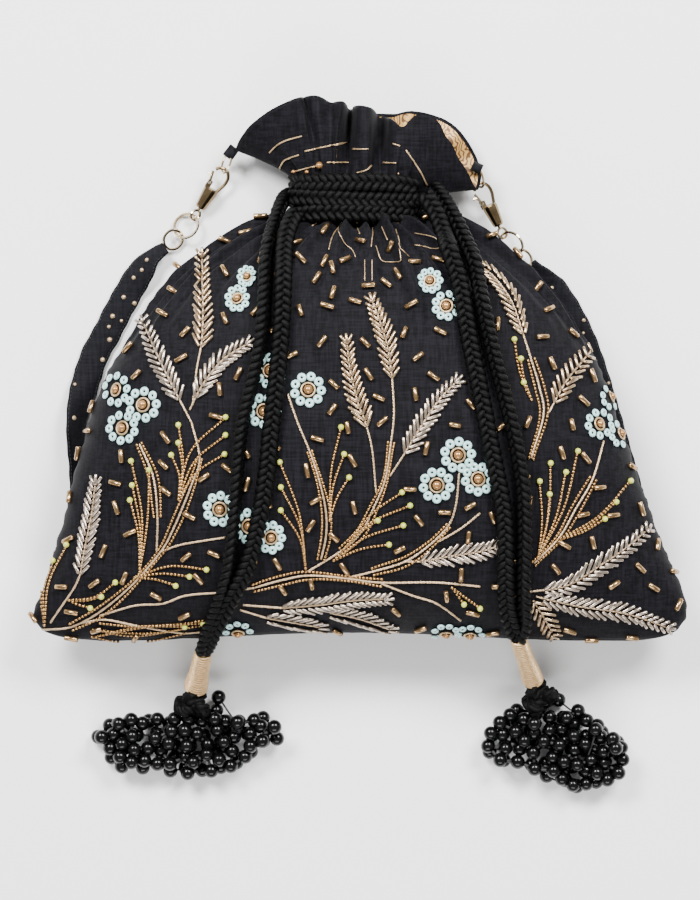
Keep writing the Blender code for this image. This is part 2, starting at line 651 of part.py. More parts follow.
def clasp_gate(side, frame):
    """The sprung gate, made about its pin."""
    x, y = (value * MM for value in GATE_HINGE)
    hinge = frame @ Matrix.Translation((x, y, 0))
    tip = Vector((GATE_TIP[0] * MM - x, GATE_TIP[1] * MM - y, 0))
    half = Vector((0, 0, KNUCKLE_HALF_WIDTH))
    gate = mesh_object(f"clasp_gate_{side}", rod(bmesh.new(), -half, half, KNUCKLE_RADIUS), PALE_GOLD, hinge)
    arm = rod(bmesh.new(), tip * 0.1, tip, GATE_WIRE, 8)
    boolean(gate, "UNION", cutter(f"arm_{side}", arm, hinge))
    thumb = rod(bmesh.new(), tip * 0.62, tip * 0.66 + Vector((0, -2.2 * MM, 0)), GATE_WIRE * 0.9, 8)
    boolean(gate, "UNION", cutter(f"thumb_{side}", thumb, hinge))
    hole = rod(bmesh.new(), -4 * half, 4 * half, PIN_HOLE)
    boolean(gate, "DIFFERENCE", cutter(f"gate_hole_{side}", hole, hinge))
    pin = rod(bmesh.new(), Vector((0, 0, -1.45 * MM)), Vector((0, 0, 1.45 * MM)), PIN_RADIUS)
    mesh_object(f"gate_pin_{side}", pin, PALE_GOLD, hinge)


def swivel_eye(side, frame, roll):
    """The eye with its stud, whose head is held inside the barrel."""
    frame = frame @ Matrix.Rotation(math.radians(roll), 4, "X")
    eye = mesh_object(f"swivel_eye_{side}", loft(bmesh.new(), lathe_rings(STUD_PROFILE)), PALE_GOLD, frame)
    turn = [2 * math.pi * i / 20 for i in range(20)]
    points = [Vector((EYE_X + EYE_RADIUS * math.cos(a), EYE_RADIUS * math.sin(a), 0)) for a in turn]
    loop = loft(bmesh.new(), tube_rings(points, EYE_WIRE, 6, True), True)
    boolean(eye, "UNION", cutter(f"eye_loop_{side}", loop, frame))


def clasp_chain(side, data):
    """Link, clasp and two rings, each hung in the one before. Returns the frame of the last one's far end."""
    heading, slope, roll = data["link"]
    link_frame = placed(Vector(data["pivot"]) * MM, heading, slope, roll)
    outline = oval(LINK_HALF_LENGTH, LINK_HALF_WIDTH, 20)
    wire_loop(f"wire_link_{side}", outline, LINK_WIRE, PALE_GOLD, link_frame)
    frill_tab(side, data, link_frame)

    far_end = link_frame @ Vector((2 * LINK_HALF_LENGTH, 0, 0))
    heading, slope, roll = data["hook"]
    hook_frame = placed(far_end, heading, slope, roll)
    hook_frame.translation = hook_frame @ Vector((-NOSE_PLAY, 0, 0))
    clasp_hook(side, hook_frame)
    clasp_gate(side, hook_frame)
    swivel_eye(side, hook_frame, data["eye_roll"] - roll)

    eye_wall = hook_frame @ Vector((EYE_X + EYE_RADIUS - EYE_WIRE - RING_WIRE - RING_PLAY, 0, 0))
    heading, slope, roll = data["big_ring"]
    big_frame = placed(eye_wall, heading, slope, roll) @ Matrix.Translation((BIG_RING, 0, 0))
    ring(f"big_ring_{side}", BIG_RING, big_frame)

    reach = BIG_RING - 2 * RING_WIRE - RING_PLAY
    heading, slope, roll = data["small_ring"]
    small_frame = placed(big_frame @ Vector((reach, 0, 0)), heading, slope, roll)
    small_frame = small_frame @ Matrix.Translation((SMALL_RING, 0, 0))
    ring(f"small_ring_{side}", SMALL_RING, small_frame)
    return small_frame @ Matrix.Translation((SMALL_RING + STRAP_LOOP_SHIFT, 0, 0))


def build():
    clear_scene()
    bag_shell()
    lining()
    drawcord("left", LEFT_INNER, LEFT_TURNS, LEFT_OUTER)
    drawcord("right", RIGHT_INNER, RIGHT_TURNS, RIGHT_OUTER)
    tassel("left", LEFT_WRAP, LEFT_KNOT, LEFT_STRANDS)
    tassel("right", RIGHT_WRAP, RIGHT_KNOT, RIGHT_STRANDS)
    ends = {side: clasp_chain(side, data) for side, data in SIDES_OF_BAG.items()}
    band = strap({side: frame.translation for side, frame in ends.items()})
    for side, frame in ends.items():
        fold_loop(band, f"strap_end_{side}", frame, STRAP_LOOP_RADIUS, STRAP_LOOP_HOLE, STRAP_END_HALF_WIDTH)


build()
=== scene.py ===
"""Potli bag: the looks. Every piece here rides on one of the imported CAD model's bodies.

Lengths are in millimetres. Plan positions are (x, y) at the height PLAN_HEIGHT, seen from EYE.
"""

import math
import random

import bpy
import numpy as np
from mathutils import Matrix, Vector
from mathutils.bvhtree import BVHTree


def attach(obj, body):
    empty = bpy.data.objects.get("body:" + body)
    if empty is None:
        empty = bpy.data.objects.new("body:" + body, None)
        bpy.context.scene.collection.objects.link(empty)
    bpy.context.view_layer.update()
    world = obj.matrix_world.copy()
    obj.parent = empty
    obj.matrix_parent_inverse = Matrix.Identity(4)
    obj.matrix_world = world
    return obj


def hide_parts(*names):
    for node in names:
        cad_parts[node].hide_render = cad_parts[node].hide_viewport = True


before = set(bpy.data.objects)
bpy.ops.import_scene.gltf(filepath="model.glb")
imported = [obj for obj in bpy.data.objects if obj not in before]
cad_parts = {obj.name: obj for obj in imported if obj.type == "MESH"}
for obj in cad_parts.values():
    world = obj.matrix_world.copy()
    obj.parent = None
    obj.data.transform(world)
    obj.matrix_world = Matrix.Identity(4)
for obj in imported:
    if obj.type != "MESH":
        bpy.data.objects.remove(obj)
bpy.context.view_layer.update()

MM = 0.001
EYE = Vector((-4.3, -35.0, 1625.0))
PLAN_HEIGHT = 25.0
SIDES = ("left", "right")
RNG = random.Random(7)


# ---------------------------------------------------------------- materials
def shader_of(name, colour, roughness, metallic=0.0, **more):
    """A new material, its node tree and its shader, with constants set on the shader's sockets."""
    made = bpy.data.materials.new(name)
    made.use_nodes = True
    shader = made.node_tree.nodes["Principled BSDF"]
    shader.inputs["Base Color"].default_value = (*colour, 1.0)
    shader.inputs["Roughness"].default_value = roughness
    shader.inputs["Metallic"].default_value = metallic
    for key, value in more.items():
        shader.inputs[key.replace("_", " ")].default_value = value
    return made, made.node_tree, shader


def node(tree, kind, **settings):
    """A new node, with its inputs and its other settings given by name."""
    made = tree.nodes.new(kind)
    for key, value in settings.items():
        if key in made.inputs:
            made.inputs[key].default_value = value
        else:
            setattr(made, key, value)
    return made


def mixed(tree, factor, low, high):
    """A colour between low and high."""
    mix = tree.nodes.new("ShaderNodeMix")
    mix.data_type = "RGBA"
    mix.inputs["A"].default_value = (*low, 1.0)
    mix.inputs["B"].default_value = (*high, 1.0)
    tree.links.new(factor, mix.inputs["Factor"])
    return mix.outputs["Result"]


def noisy(
    name, low, high, scale, roughness, metallic=0.0, bump=0.0, bump_scale=None, stretch=(1, 1, 1), **more
):
    """A material that varies between two colours, with an optional fine relief."""
    made, tree, shader = shader_of(name, low, roughness, metallic, **more)
    place = tree.nodes.new("ShaderNodeTexCoord")
    scaled = tree.nodes.new("ShaderNodeMapping")
    scaled.inputs["Scale"].default_value = stretch
    tree.links.new(place.outputs["Object"], scaled.inputs["Vector"])
    noise = node(tree, "ShaderNodeTexNoise", Scale=scale, Detail=4.0, Roughness=0.6)
    tree.links.new(scaled.outputs["Vector"], noise.inputs["Vector"])
    tree.links.new(mixed(tree, noise.outputs["Fac"], low, high), shader.inputs["Base Color"])
    if bump:
        fine = node(tree, "ShaderNodeTexNoise", Scale=bump_scale or scale * 4, Detail=3.0)
        tree.links.new(scaled.outputs["Vector"], fine.inputs["Vector"])
        relief = node(tree, "ShaderNodeBump", Strength=bump, Distance=0.0004)
        tree.links.new(fine.outputs["Fac"], relief.inputs["Height"])
        tree.links.new(relief.outputs["Normal"], shader.inputs["Normal"])
    return made


def silk(name, low, high):
    """Raw silk: slubs that run across and along, and a fine weave."""
    made, tree, shader = shader_of(name, low, 0.68, 0.0, Sheen_Weight=0.025, Specular_IOR_Level=0.08)
    place = tree.nodes.new("ShaderNodeTexCoord")
    heights = []
    for stretch, scale in (((40, 500, 200), 2.2), ((420, 36, 200), 2.2)):
        turn = tree.nodes.new("ShaderNodeMapping")
        turn.inputs["Scale"].default_value = stretch
        tree.links.new(place.outputs["Object"], turn.inputs["Vector"])
        slub = node(tree, "ShaderNodeTexNoise", Scale=scale, Detail=3.0, Roughness=0.7)
        tree.links.new(turn.outputs["Vector"], slub.inputs["Vector"])
        heights.append(slub.outputs["Fac"])
    both = node(tree, "ShaderNodeMath", operation="ADD")
    tree.links.new(heights[0], both.inputs[0])
    tree.links.new(heights[1], both.inputs[1])
    half = node(tree, "ShaderNodeMath", operation="MULTIPLY_ADD")
    half.inputs[1].default_value = 2.4
    half.inputs[2].default_value = -1.9
    tree.links.new(both.outputs[0], half.inputs[0])
    tree.links.new(mixed(tree, half.outputs[0], low, high), shader.inputs["Base Color"])
    relief = node(tree, "ShaderNodeBump", Strength=0.35, Distance=0.0003)
    tree.links.new(both.outputs[0], relief.inputs["Height"])
    tree.links.new(relief.outputs["Normal"], shader.inputs["Normal"])
    return made


def brocade(name):
    """Gold brocade with darker scrolls."""
    made, tree, shader = shader_of(name, (0.45, 0.26, 0.08), 0.45, 0.3)
    place = tree.nodes.new("ShaderNodeTexCoord")
    bend = node(tree, "ShaderNodeTexNoise", Scale=160.0, Detail=1.0)
    tree.links.new(place.outputs["Object"], bend.inputs["Vector"])
    wave = node(tree, "ShaderNodeTexWave", Scale=150.0, Distortion=22.0, Detail=2.0)
    tree.links.new(place.outputs["Object"], wave.inputs["Vector"])
    tree.links.new(bend.outputs["Fac"], wave.inputs["Phase Offset"])
    ramp = tree.nodes.new("ShaderNodeValToRGB")
    ramp.color_ramp.elements[0].position = 0.28
    ramp.color_ramp.elements[0].color = (0.10, 0.045, 0.012, 1)
    ramp.color_ramp.elements[1].position = 0.5
    ramp.color_ramp.elements[1].color = (0.50, 0.29, 0.085, 1)
    tree.links.new(wave.outputs["Fac"], ramp.inputs["Fac"])
    tree.links.new(ramp.outputs["Color"], shader.inputs["Base Color"])
    return made


SILK = silk("raw_silk", (0.0004, 0.0004, 0.0009), (0.0056, 0.0053, 0.0080))
SILK_STRAP = silk("strap_silk", (0.0020, 0.0020, 0.0032), (0.0075, 0.0074, 0.0100))
BROCADE = brocade("gold_brocade")
BRAID = noisy(
    "black_braid", (0.0003, 0.0003, 0.0003), (0.0014, 0.0014, 0.0015), 900, 0.5, bump=0.6, bump_scale=2600,
    Specular_IOR_Level=0.1,
)
SILVER_BUGLE = noisy("silver_bugle", (0.08, 0.06, 0.045), (0.70, 0.59, 0.49), 520, 0.2, 0.85)
GILT_BUGLE = noisy("gilt_bugle", (0.09, 0.055, 0.03), (0.70, 0.52, 0.34), 520, 0.2, 0.85)
BRONZE_BUGLE = noisy("bronze_bugle", (0.10, 0.054, 0.02), (0.54, 0.35, 0.175), 420, 0.2, 0.9)
STEM_GOLD = noisy("stem_thread", (0.20, 0.12, 0.06), (0.84, 0.62, 0.39), 900, 0.32, 0.6)
STITCH_GOLD = noisy("stitch_thread", (0.20, 0.12, 0.055), (0.80, 0.58, 0.34), 900, 0.34, 0.6)
MINT = noisy("mint_sequin", (0.22, 0.47, 0.47), (0.60, 0.82, 0.79), 700, 0.25, Coat_Weight=0.6)
SEED = noisy("seed_bead", (0.05, 0.022, 0.006), (0.62, 0.36, 0.14), 700, 0.18, 0.8)
TIP = noisy("tip_bead", (0.34, 0.36, 0.03), (0.66, 0.70, 0.12), 500, 0.25, Coat_Weight=0.5)
CENTRE = noisy("bronze_centre", (0.20, 0.09, 0.03), (0.52, 0.28, 0.11), 500, 0.2, 0.6)
JET = noisy(
    "jet_bead", (0.0006, 0.0006, 0.0007), (0.0020, 0.0020, 0.0023), 200, 0.2, Specular_IOR_Level=0.24
)
THREAD = noisy("black_thread", (0.004, 0.004, 0.004), (0.012, 0.012, 0.012), 900, 0.6)
WRAP = noisy("wrap_thread", (0.24, 0.12, 0.04), (0.98, 0.68, 0.35), 900, 0.34, 0.5, stretch=(0.6, 1, 1))
METAL = noisy("pale_gold", (0.42, 0.33, 0.21), (0.78, 0.66, 0.47), 250, 0.2, 1.0)
BARREL = noisy("antique_bronze", (0.10, 0.065, 0.03), (0.30, 0.22, 0.12), 250, 0.25, 1.0)
FLOOR = noisy("pale_floor", (0.94, 0.94, 0.94), (0.96, 0.96, 0.96), 3, 0.9)


# ---------------------------------------------------------------- meshes
class Batch:
    """Collects many small shapes for one mesh."""

    def __init__(self, name):
        self.name, self.points, self.faces = name, [], []

    def rings(self, rings, closed=False, caps=True):
        """Joins rings of equal length with quads, and closes the ends."""
        first, count = len(self.points), len(rings[0])
        for ring in rings:
            self.points.extend(ring)
        pairs = len(rings) if closed else len(rings) - 1
        for i in range(pairs):
            a, b = first + i * count, first + (i + 1) % len(rings) * count
            for j in range(count):
                k = (j + 1) % count
                self.faces.append((a + j, a + k, b + k, b + j))
        if caps and not closed:
            last = first + (len(rings) - 1) * count
            self.faces.append(tuple(first + j for j in reversed(range(count))))
            self.faces.append(tuple(last + j for j in range(count)))

    def made(self, material, body="bag", smooth=True):
        mesh = bpy.data.meshes.new(self.name)
        mesh.from_pydata([tuple(np.array(p) * MM) for p in self.points], [], self.faces)
        mesh.update()
        if smooth:
            mesh.polygons.foreach_set("use_smooth", [True] * len(mesh.polygons))
        mesh.materials.append(material)
        piece = bpy.data.objects.new(self.name, mesh)
        bpy.context.scene.collection.objects.link(piece)
        if body:
            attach(piece, body)
        return piece


def smooth_route(points, step):
    """Evenly spaced points on a Catmull-Rom curve through the given ones, in any number of columns."""
    knots = np.array(points, float)
    padded = np.vstack([2 * knots[0] - knots[1], knots, 2 * knots[-1] - knots[-2]])
    dense = []
    for i in range(1, len(padded) - 2):
        a, b, c, d = padded[i - 1 : i + 3]
        for t in np.linspace(0, 1, 16, endpoint=False):
            square, cube = 2 * a - 5 * b + 4 * c - d, 3 * b - a - 3 * c + d
            dense.append(0.5 * (2 * b + (c - a) * t + square * t**2 + cube * t**3))
    dense = np.array([*dense, padded[-2]])
    space = dense[:, : min(3, dense.shape[1])]
    walked = np.concatenate([[0], np.cumsum(np.linalg.norm(np.diff(space, axis=0), axis=1))])
    count = max(2, int(round(walked[-1] / step)) + 1)
    at = np.linspace(0, walked[-1], count)
    return np.column_stack([np.interp(at, walked, dense[:, k]) for k in range(dense.shape[1])])


def frames(points, up=None, closed=False):
    """(tangent, side, up) at each point. Without a given up, the frame is carried along without twist."""
    points = np.array(points, float)
    if closed:
        tangents = np.roll(points, -1, axis=0) - np.roll(points, 1, axis=0)
    else:
        tangents = np.gradient(points, axis=0)
    tangents /= np.linalg.norm(tangents, axis=1)[:, None] + 1e-12
    if up is None:
        start = np.array((0, 0, 1.0)) if abs(tangents[0][2]) < 0.9 else np.array((1.0, 0, 0))
        ups = []
        for tangent in tangents:
            start = start - tangent * start.dot(tangent)
            start /= np.linalg.norm(start)
            ups.append(start)
        ups = np.array(ups)
    else:
        ups = np.array(up, float)
        ups = ups - tangents * np.sum(ups * tangents, axis=1)[:, None]
        ups /= np.linalg.norm(ups, axis=1)[:, None] + 1e-12
    return tangents, np.cross(tangents, ups), ups


def tube(batch, points, radius, sides=6, up=None, closed=False):
    points = np.array(points, float)
    radii = np.broadcast_to(radius, len(points))
    _, side, ups = frames(points, up, closed)
    angles = 2 * math.pi * np.arange(sides) / sides
    rings = []
    for p, s, u, r in zip(points, side, ups, radii):
        rings.append([p + r * (math.cos(a) * s + math.sin(a) * u) for a in angles])
    batch.rings(rings, closed)


def ball(batch, centre, radius, axis=(0, 0, 1), sides=8, levels=5, squash=1.0):
    centre, axis = np.array(centre, float), np.array(axis, float)
    axis /= np.linalg.norm(axis)
    other = np.array((1.0, 0, 0)) if abs(axis[0]) < 0.8 else np.array((0, 1.0, 0))
    side = np.cross(axis, other)
    side /= np.linalg.norm(side)
    up = np.cross(axis, side)
    rings = []
    for i in range(levels):
        polar = math.pi * (i + 0.5) / levels
        height, r = -math.cos(polar) * radius * squash, math.sin(polar) * radius
        rings.append([
            centre + axis * height + r * (math.cos(a) * side + math.sin(a) * up)
            for a in 2 * math.pi * np.arange(sides) / sides
        ])
    batch.rings(rings)


def torus(batch, centre, normal, radius, wire, around=10, sides=5):
    centre, normal = np.array(centre, float), np.array(normal, float)
    other = np.array((1.0, 0, 0)) if abs(normal[0]) < 0.8 else np.array((0, 1.0, 0))
    side = np.cross(normal, other)
    side /= np.linalg.norm(side)
    up = np.cross(normal, side)
    rings = []
    for a in 2 * math.pi * np.arange(around) / around:
        out = math.cos(a) * side + math.sin(a) * up
        rings.append([
            centre + out * (radius + wire * math.cos(b)) + normal * wire * 0.8 * math.sin(b)
            for b in 2 * math.pi * np.arange(sides) / sides
        ])
    batch.rings(rings, closed=True)


def plait(batch, route, half_width=2.6, half_depth=1.15, strand=1.5, pitch=10.2, up=None, phase=0.0, sides=6):
    """A three-strand plait along the route."""
    route = np.array(route, float)
    walked = np.concatenate([[0], np.cumsum(np.linalg.norm(np.diff(route, axis=0), axis=1))])
    _, side, ups = frames(route, up)
    for k in range(3):
        turn = 2 * math.pi * (walked / pitch + k / 3) + phase
        line = route + side * (half_width * np.sin(turn))[:, None]
        line = line + ups * (half_depth * np.sin(2 * turn))[:, None]
        tube(batch, line, strand, sides)


def twist(batch, points, radius, pitch, up=None, sides=5):
    """Two threads twisted together along the points."""
    points = np.array(points, float)
    walked = np.concatenate([[0], np.cumsum(np.linalg.norm(np.diff(points, axis=0), axis=1))])
    _, side, ups = frames(points, up)
    for k in range(2):
        turn = 2 * math.pi * walked / pitch + math.pi * k
        line = points + radius * 0.5 * (side * np.cos(turn)[:, None] + ups * np.sin(turn)[:, None])
        tube(batch, line, radius * 0.62, sides)


# ---------------------------------------------------------------- pouch cloth
# y, left edge, right edge, underside, height of the side edge, top of the crown
POUCH_SECTIONS = (
    (-117.2, -112, 117, 23.0, 25.0, 27.5), (-115.6, -128, 130, 17.5, 25.0, 33.0),
    (-111.5, -137, 137, 12.0, 24.5, 39.0), (-106.0, -140.4, 140.4, 7.0, 24.0, 45.0),
    (-98.0, -137.8, 139.6, 2.4, 24.0, 51.0), (-86.0, -133.6, 135.4, -1.5, 24.0, 56.5),
    (-66.0, -128.2, 127.0, -2.0, 24.0, 61.0), (-45.0, -122.8, 119.4, -2.0, 24.0, 63.0),
    (-24.0, -116.6, 112.0, -2.0, 24.0, 62.5), (-5.0, -109.8, 105.2, -2.0, 23.5, 60.5),
    (12.0, -99.8, 96.8, -2.0, 23.0, 57.5), (28.0, -88.0, 85.4, -1.5, 22.0, 53.5),
    (39.0, -77.4, 74.4, -1.0, 21.0, 49.5), (48.0, -64.6, 62.2, 0.5, 20.0, 44.5),
    (54.5, -53.6, 51.6, 2.0, 19.0, 39.5), (59.5, -41.0, 40.0, 4.4, 18.0, 33.5),
    (62.4, -24.2, 22.2, 8.0, 17.2, 26.6), (72.0, -23.2, 21.2, 8.5, 17.2, 26.0),
    (79.0, -23.2, 21.2, 8.5, 17.2, 26.0),
)
AROUND, ALONG = 420, 190


def waves(x, y, seed, scale, octaves=3):
    """Smooth random relief from a few plane waves."""
    rng = np.random.default_rng(seed)
    total = np.zeros_like(x)
    for octave in range(octaves):
        size = scale / 1.8**octave
        for _ in range(6):
            heading, phase = rng.uniform(0, math.pi), rng.uniform(0, 2 * math.pi)
            along = (x * math.cos(heading) + y * math.sin(heading)) * 2 * math.pi / size
            along = along / rng.uniform(0.8, 1.4)
            total += np.sin(along + phase) / 6 / 1.6**octave
    return total


def crease(x, y, start, end, width, depth):
    """A fold line from start to end: a valley with a soft ridge at each side, fading at its far end."""
    start, end = np.array(start, float), np.array(end, float)
    length = np.linalg.norm(end - start)
    along = (end - start) / length
    rel_x, rel_y = x - start[0], y - start[1]
    t = (rel_x * along[0] + rel_y * along[1]) / length
    off = rel_x * -along[1] + rel_y * along[0]
    grow = width * (0.45 + 0.9 * np.clip(t, 0, 1))
    fade = np.clip(1 - t, 0, 1) ** 0.8 * np.clip(1 + t * 8, 0, 1)
    shape = -np.exp(-((off / grow) ** 2)) + 0.45 * np.exp(-(((np.abs(off) - 1.9 * grow) / grow) ** 2))
    return depth * shape * fade


def pouch_grid():
    """The pouch's points, with its gathers and creases moved along the outward normals."""
    keys = np.array(POUCH_SECTIONS, float)
    span = smooth_route(keys[:, [0, 5, 2, 1, 3, 4]], 0.5)
    at = np.linspace(0, len(span) - 1, ALONG).astype(int)
    y, top, right, left, under, edge = span[at].T
    angle = 2 * math.pi * np.arange(AROUND) / AROUND
    across, rise = np.cos(angle), np.sin(angle)
    grid = np.zeros((ALONG, AROUND, 3))
    front = rise >= 0
    for i in range(ALONG):
        reach = np.where(across > 0, right[i], -left[i])
        share = np.where(front, np.abs(across) ** (2 / 2.4), np.abs(across) ** 0.6)
        z_front = edge[i] + (top[i] - edge[i]) * rise
        z_back = edge[i] - (edge[i] - under[i]) * (1 - share**4.0) ** 0.7
        grid[i, :, 0] = np.copysign(share, across) * reach
        grid[i, :, 1] = y[i]
        grid[i, :, 2] = np.where(front, z_front, np.maximum(z_back, 0.0))
    bow = np.exp(-(((grid[:, :, 0] + 4.0) / 62.0) ** 2)) * np.clip((-92.0 - grid[:, :, 1]) / 24.0, 0, 1)
    grid[:, :, 1] += 3.8 * bow
    normals = np.cross(np.roll(grid, -1, axis=1) - np.roll(grid, 1, axis=1), np.gradient(grid, axis=0))
    normals /= np.linalg.norm(normals, axis=2)[:, :, None] + 1e-9
    gx, gy = grid[:, :, 0], grid[:, :, 1]
    near_neck = np.clip((gy - 2.0) / 58.0, 0, 1)
    theta = np.broadcast_to(angle, gx.shape)
    gathers = np.zeros_like(gx)
    rng = np.random.default_rng(3)
    for _ in range(5):
        count, phase = rng.integers(22, 44), rng.uniform(0, 6.28)
        gathers += np.sin(count * theta + phase + 0.8 * np.sin(3 * theta + phase)) / 2.6
    gathers = gathers - 0.5 * gathers**2
    move = gathers * near_neck**1.3 * np.where(gy < 63, 2.7, 0.7)
    up_face = np.clip(normals[:, :, 2] * 1.4, 0, 1)
    folds = np.zeros_like(gx)
    for fold in FRONT_CREASES:
        folds += crease(gx, gy, *fold)
    move += folds * up_face
    move += 1.3 * waves(gx, gy, 11, 85) * np.clip((62 - gy) / 30, 0, 1) * np.clip((gy + 117) / 25, 0, 1)
    move += 0.28 * waves(gx, gy, 12, 17, 2)
    side_pucker = np.exp(-((normals[:, :, 2] / 0.35) ** 2)) * np.clip((62 - gy) / 20, 0, 1)
    move += side_pucker * 0.3 * np.sin(gy * 0.9 + 1.7 * np.sin(gy * 0.23))
    move = np.where(grid[:, :, 2] < 1.5, np.abs(move) * 0.3, move)
    return grid + normals * move[:, :, None]


# start, end, width, depth in millimetres
FRONT_CREASES = (
    ((2.5, 62), (1.5, -26), 2.4, 4.6),
    ((8.0, 60), (12.0, 10), 2.4, 1.8),
    ((-9.0, 62), (-22.0, 4), 3.0, 1.9),
    ((-18.0, 61), (-62.0, 8), 3.2, 2.0),
    ((-24.0, 60), (-92.0, 30), 2.6, 1.8),
    ((-4.0, 62), (-8.0, 26), 1.6, 2.4),
    ((12.0, 62), (20.0, 30), 1.7, 2.4),
    ((-14.0, 62), (-36.0, 26), 2.0, 2.4),
    ((16.0, 61), (34.0, 6), 3.0, 1.8),
    ((22.0, 60), (78.0, 8), 3.2, 2.2),
    ((-110.0, -70), (-40.0, -104), 5.0, 1.2),
    ((120.0, -72), (60.0, -100), 5.0, 1.2),
)


def grid_faces(rows, columns):
    """Quads between rows of points, each row closed round on itself."""
    faces = []
    for i in range(rows - 1):
        for j in range(columns):
            k = (j + 1) % columns
            faces.append((i * columns + j, i * columns + k, (i + 1) * columns + k, (i + 1) * columns + j))
    return faces


def pouch():
    grid = pouch_grid()
    grid[:, :, 2] = np.maximum(grid[:, :, 2], 0.05)
    batch = Batch("pouch_cloth")
    batch.points = list(grid.reshape(-1, 3))
    batch.faces = grid_faces(ALONG, AROUND)
    batch.faces.append(tuple(reversed(range(AROUND))))
    batch.faces.append(tuple((ALONG - 1) * AROUND + j for j in range(AROUND)))
    piece = batch.made(SILK)
    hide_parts("bag_shell")
    return piece


# ---------------------------------------------------------------- frill
FRONT_RIM = (
    (-54.5, 94.0, 11), (-52.5, 98.5, 15.5), (-50.0, 102.0, 18.5), (-46.9, 105.4, 21), (-38.7, 111.2, 25.0),
    (-29.2, 115.5, 27.0), (-25.4, 116.6, 26.5), (-24.2, 116.9, 21.5), (-22.8, 117.2, 25.5),
    (-19.0, 117.4, 27.5),
    (-15.9, 116.4, 26), (-12.5, 114.6, 22.5), (-10.0, 114.9, 25), (-7.2, 114.8, 26.5), (-5.6, 113.8, 20),
    (-4.9, 113.2, 10.5), (-3.6, 113.0, 9.5), (-2.8, 113.2, 19), (-0.6, 113.2, 25), (2.4, 112.7, 27),
    (5.2, 112, 25), (6.8, 111.2, 18), (7.8, 110.6, 9.5), (10.2, 110.0, 8.5), (11.6, 109.0, 14),
    (12.8, 107.8, 22), (15.2, 105.9, 26.5), (18.5, 103.6, 27.5),
    (23.2, 108.4, 27.5), (29.7, 108.8, 27), (34.4, 105.1, 26.5), (36.6, 100.4, 25.5), (40, 96.1, 24),
    (42.1, 91.4, 22), (46.6, 84.8, 18.5), (49.6, 78.4, 15.5),
)
BACK_RIM = (
    (51.2, 77.0, 12), (52.6, 84.6, 9.5), (50.0, 93.5, 8), (44.4, 102.3, 9.5), (38.6, 107.7, 8),
    (31.6, 110.8, 6.5),
    (23.2, 112.2, 8.5), (16, 111.4, 6), (8.6, 111.2, 8), (0, 111.5, 5), (-10, 112.5, 8), (-20, 114.5, 5),
    (-30, 112, 8), (-40, 108, 6), (-48, 102, 8), (-53.0, 97.0, 9),
)
FRILL_AROUND, FRILL_UP = 460, 30
CLOTH = 0.8


def frill_surface():
    """Rows of points from the neck to the rim; columns go left to right over the front and back behind."""
    front = smooth_route(FRONT_RIM, 0.4)
    back = smooth_route(BACK_RIM, 0.4)
    half = FRILL_AROUND // 2
    pick = lambda line: line[np.linspace(0, len(line) - 1, half).round().astype(int)]
    rim = np.vstack([pick(front), pick(back)])
    for _ in range(2):
        rim = (np.roll(rim, 1, axis=0) + 2 * rim + np.roll(rim, -1, axis=0)) / 4
    angle = math.pi - 2 * math.pi * np.arange(FRILL_AROUND) / FRILL_AROUND
    crimp = 1 + 0.05 * np.sin(angle * 23) + 0.03 * np.sin(angle * 31 + 1)
    base = np.column_stack([
        -1.0 + 22.6 * np.cos(angle) * crimp,
        np.full(FRILL_AROUND, 74.0),
        17.2 + 8.9 * np.sin(angle) * crimp,
    ])
    rows = []
    for i in range(FRILL_UP):
        h = i / (FRILL_UP - 1)
        row = base + (rim - base) * h
        row[:, 0] = base[:, 0] + (rim - base)[:, 0] * h ** np.where(base[:, 0] < -1, 1.9, 1.3)
        bulge = math.sin(math.pi * h) * 2.2
        row[:, 2] += bulge * np.sin(angle)
        row[:, 2] += 0.9 * h * np.sin(angle * 13 + 0.8 - 0.7 * h) * np.sin(angle)
        pleat = np.sin(angle * 23 + 2 * math.sin(2.2 * h)) * 0.55 + 0.4 * np.sin(angle * 31 + 1 + h)
        row[:, 2] += pleat * max(0, 1 - 1.25 * h) * np.abs(np.sin(angle)) ** 0.4
        rows.append(row)
    return np.array(rows)


def inward(grid, depth):
    """The grid, moved along its normals."""
    normals = np.cross(np.roll(grid, -1, axis=1) - np.roll(grid, 1, axis=1), np.gradient(grid, axis=0))
    normals /= np.linalg.norm(normals, axis=2)[:, :, None] + 1e-9
    return grid + normals * depth


def spread(row):
    """How far a row's points lie from their middle, on average."""
    return np.linalg.norm(row - row.mean(0), axis=1).mean()


def frill():
    """The gathered cloth above the neck, with its rim turned in, and the brocade that lines it."""
    outer = frill_surface()
    sign = -1 if spread(inward(outer, CLOTH)[-6]) > spread(outer[-6]) else 1
    inner = inward(outer, sign * CLOTH)
    cloth = Batch("frill_cloth")
    turned = FRILL_UP - 3
    rows = [*outer, *inner[turned:][::-1]]
    cloth.points = list(np.array(rows).reshape(-1, 3))
    cloth.faces = grid_faces(len(rows), FRILL_AROUND)
    piece = cloth.made(SILK)
    inside = inward(outer, sign * (CLOTH + 0.35))[: FRILL_UP - 1]
    lining = Batch("frill_lining")
    lining.points = list(inside.reshape(-1, 3))
    lining.faces = [tuple(reversed(f)) for f in grid_faces(FRILL_UP - 1, FRILL_AROUND)]
    inner_piece = lining.made(BROCADE)
    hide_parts("lining")
    return piece


# ---------------------------------------------------------------- surface lookup
def tree_of(piece):
    """A piece's surface, for ray casts in millimetres."""
    points = [v.co / MM for v in piece.data.vertices]
    return BVHTree.FromPolygons(points, [tuple(p.vertices) for p in piece.data.polygons])


def onto(tree, x, y):
    """Where a plan position falls on the cloth: (point, normal), or None."""
    aim = Vector((x, y, PLAN_HEIGHT)) - EYE
    hit, normal, _, _ = tree.ray_cast(EYE, aim.normalized())
    if hit is None:
        return None
    if normal.z < 0:
        normal = -normal
    return np.array(hit), np.array(normal)


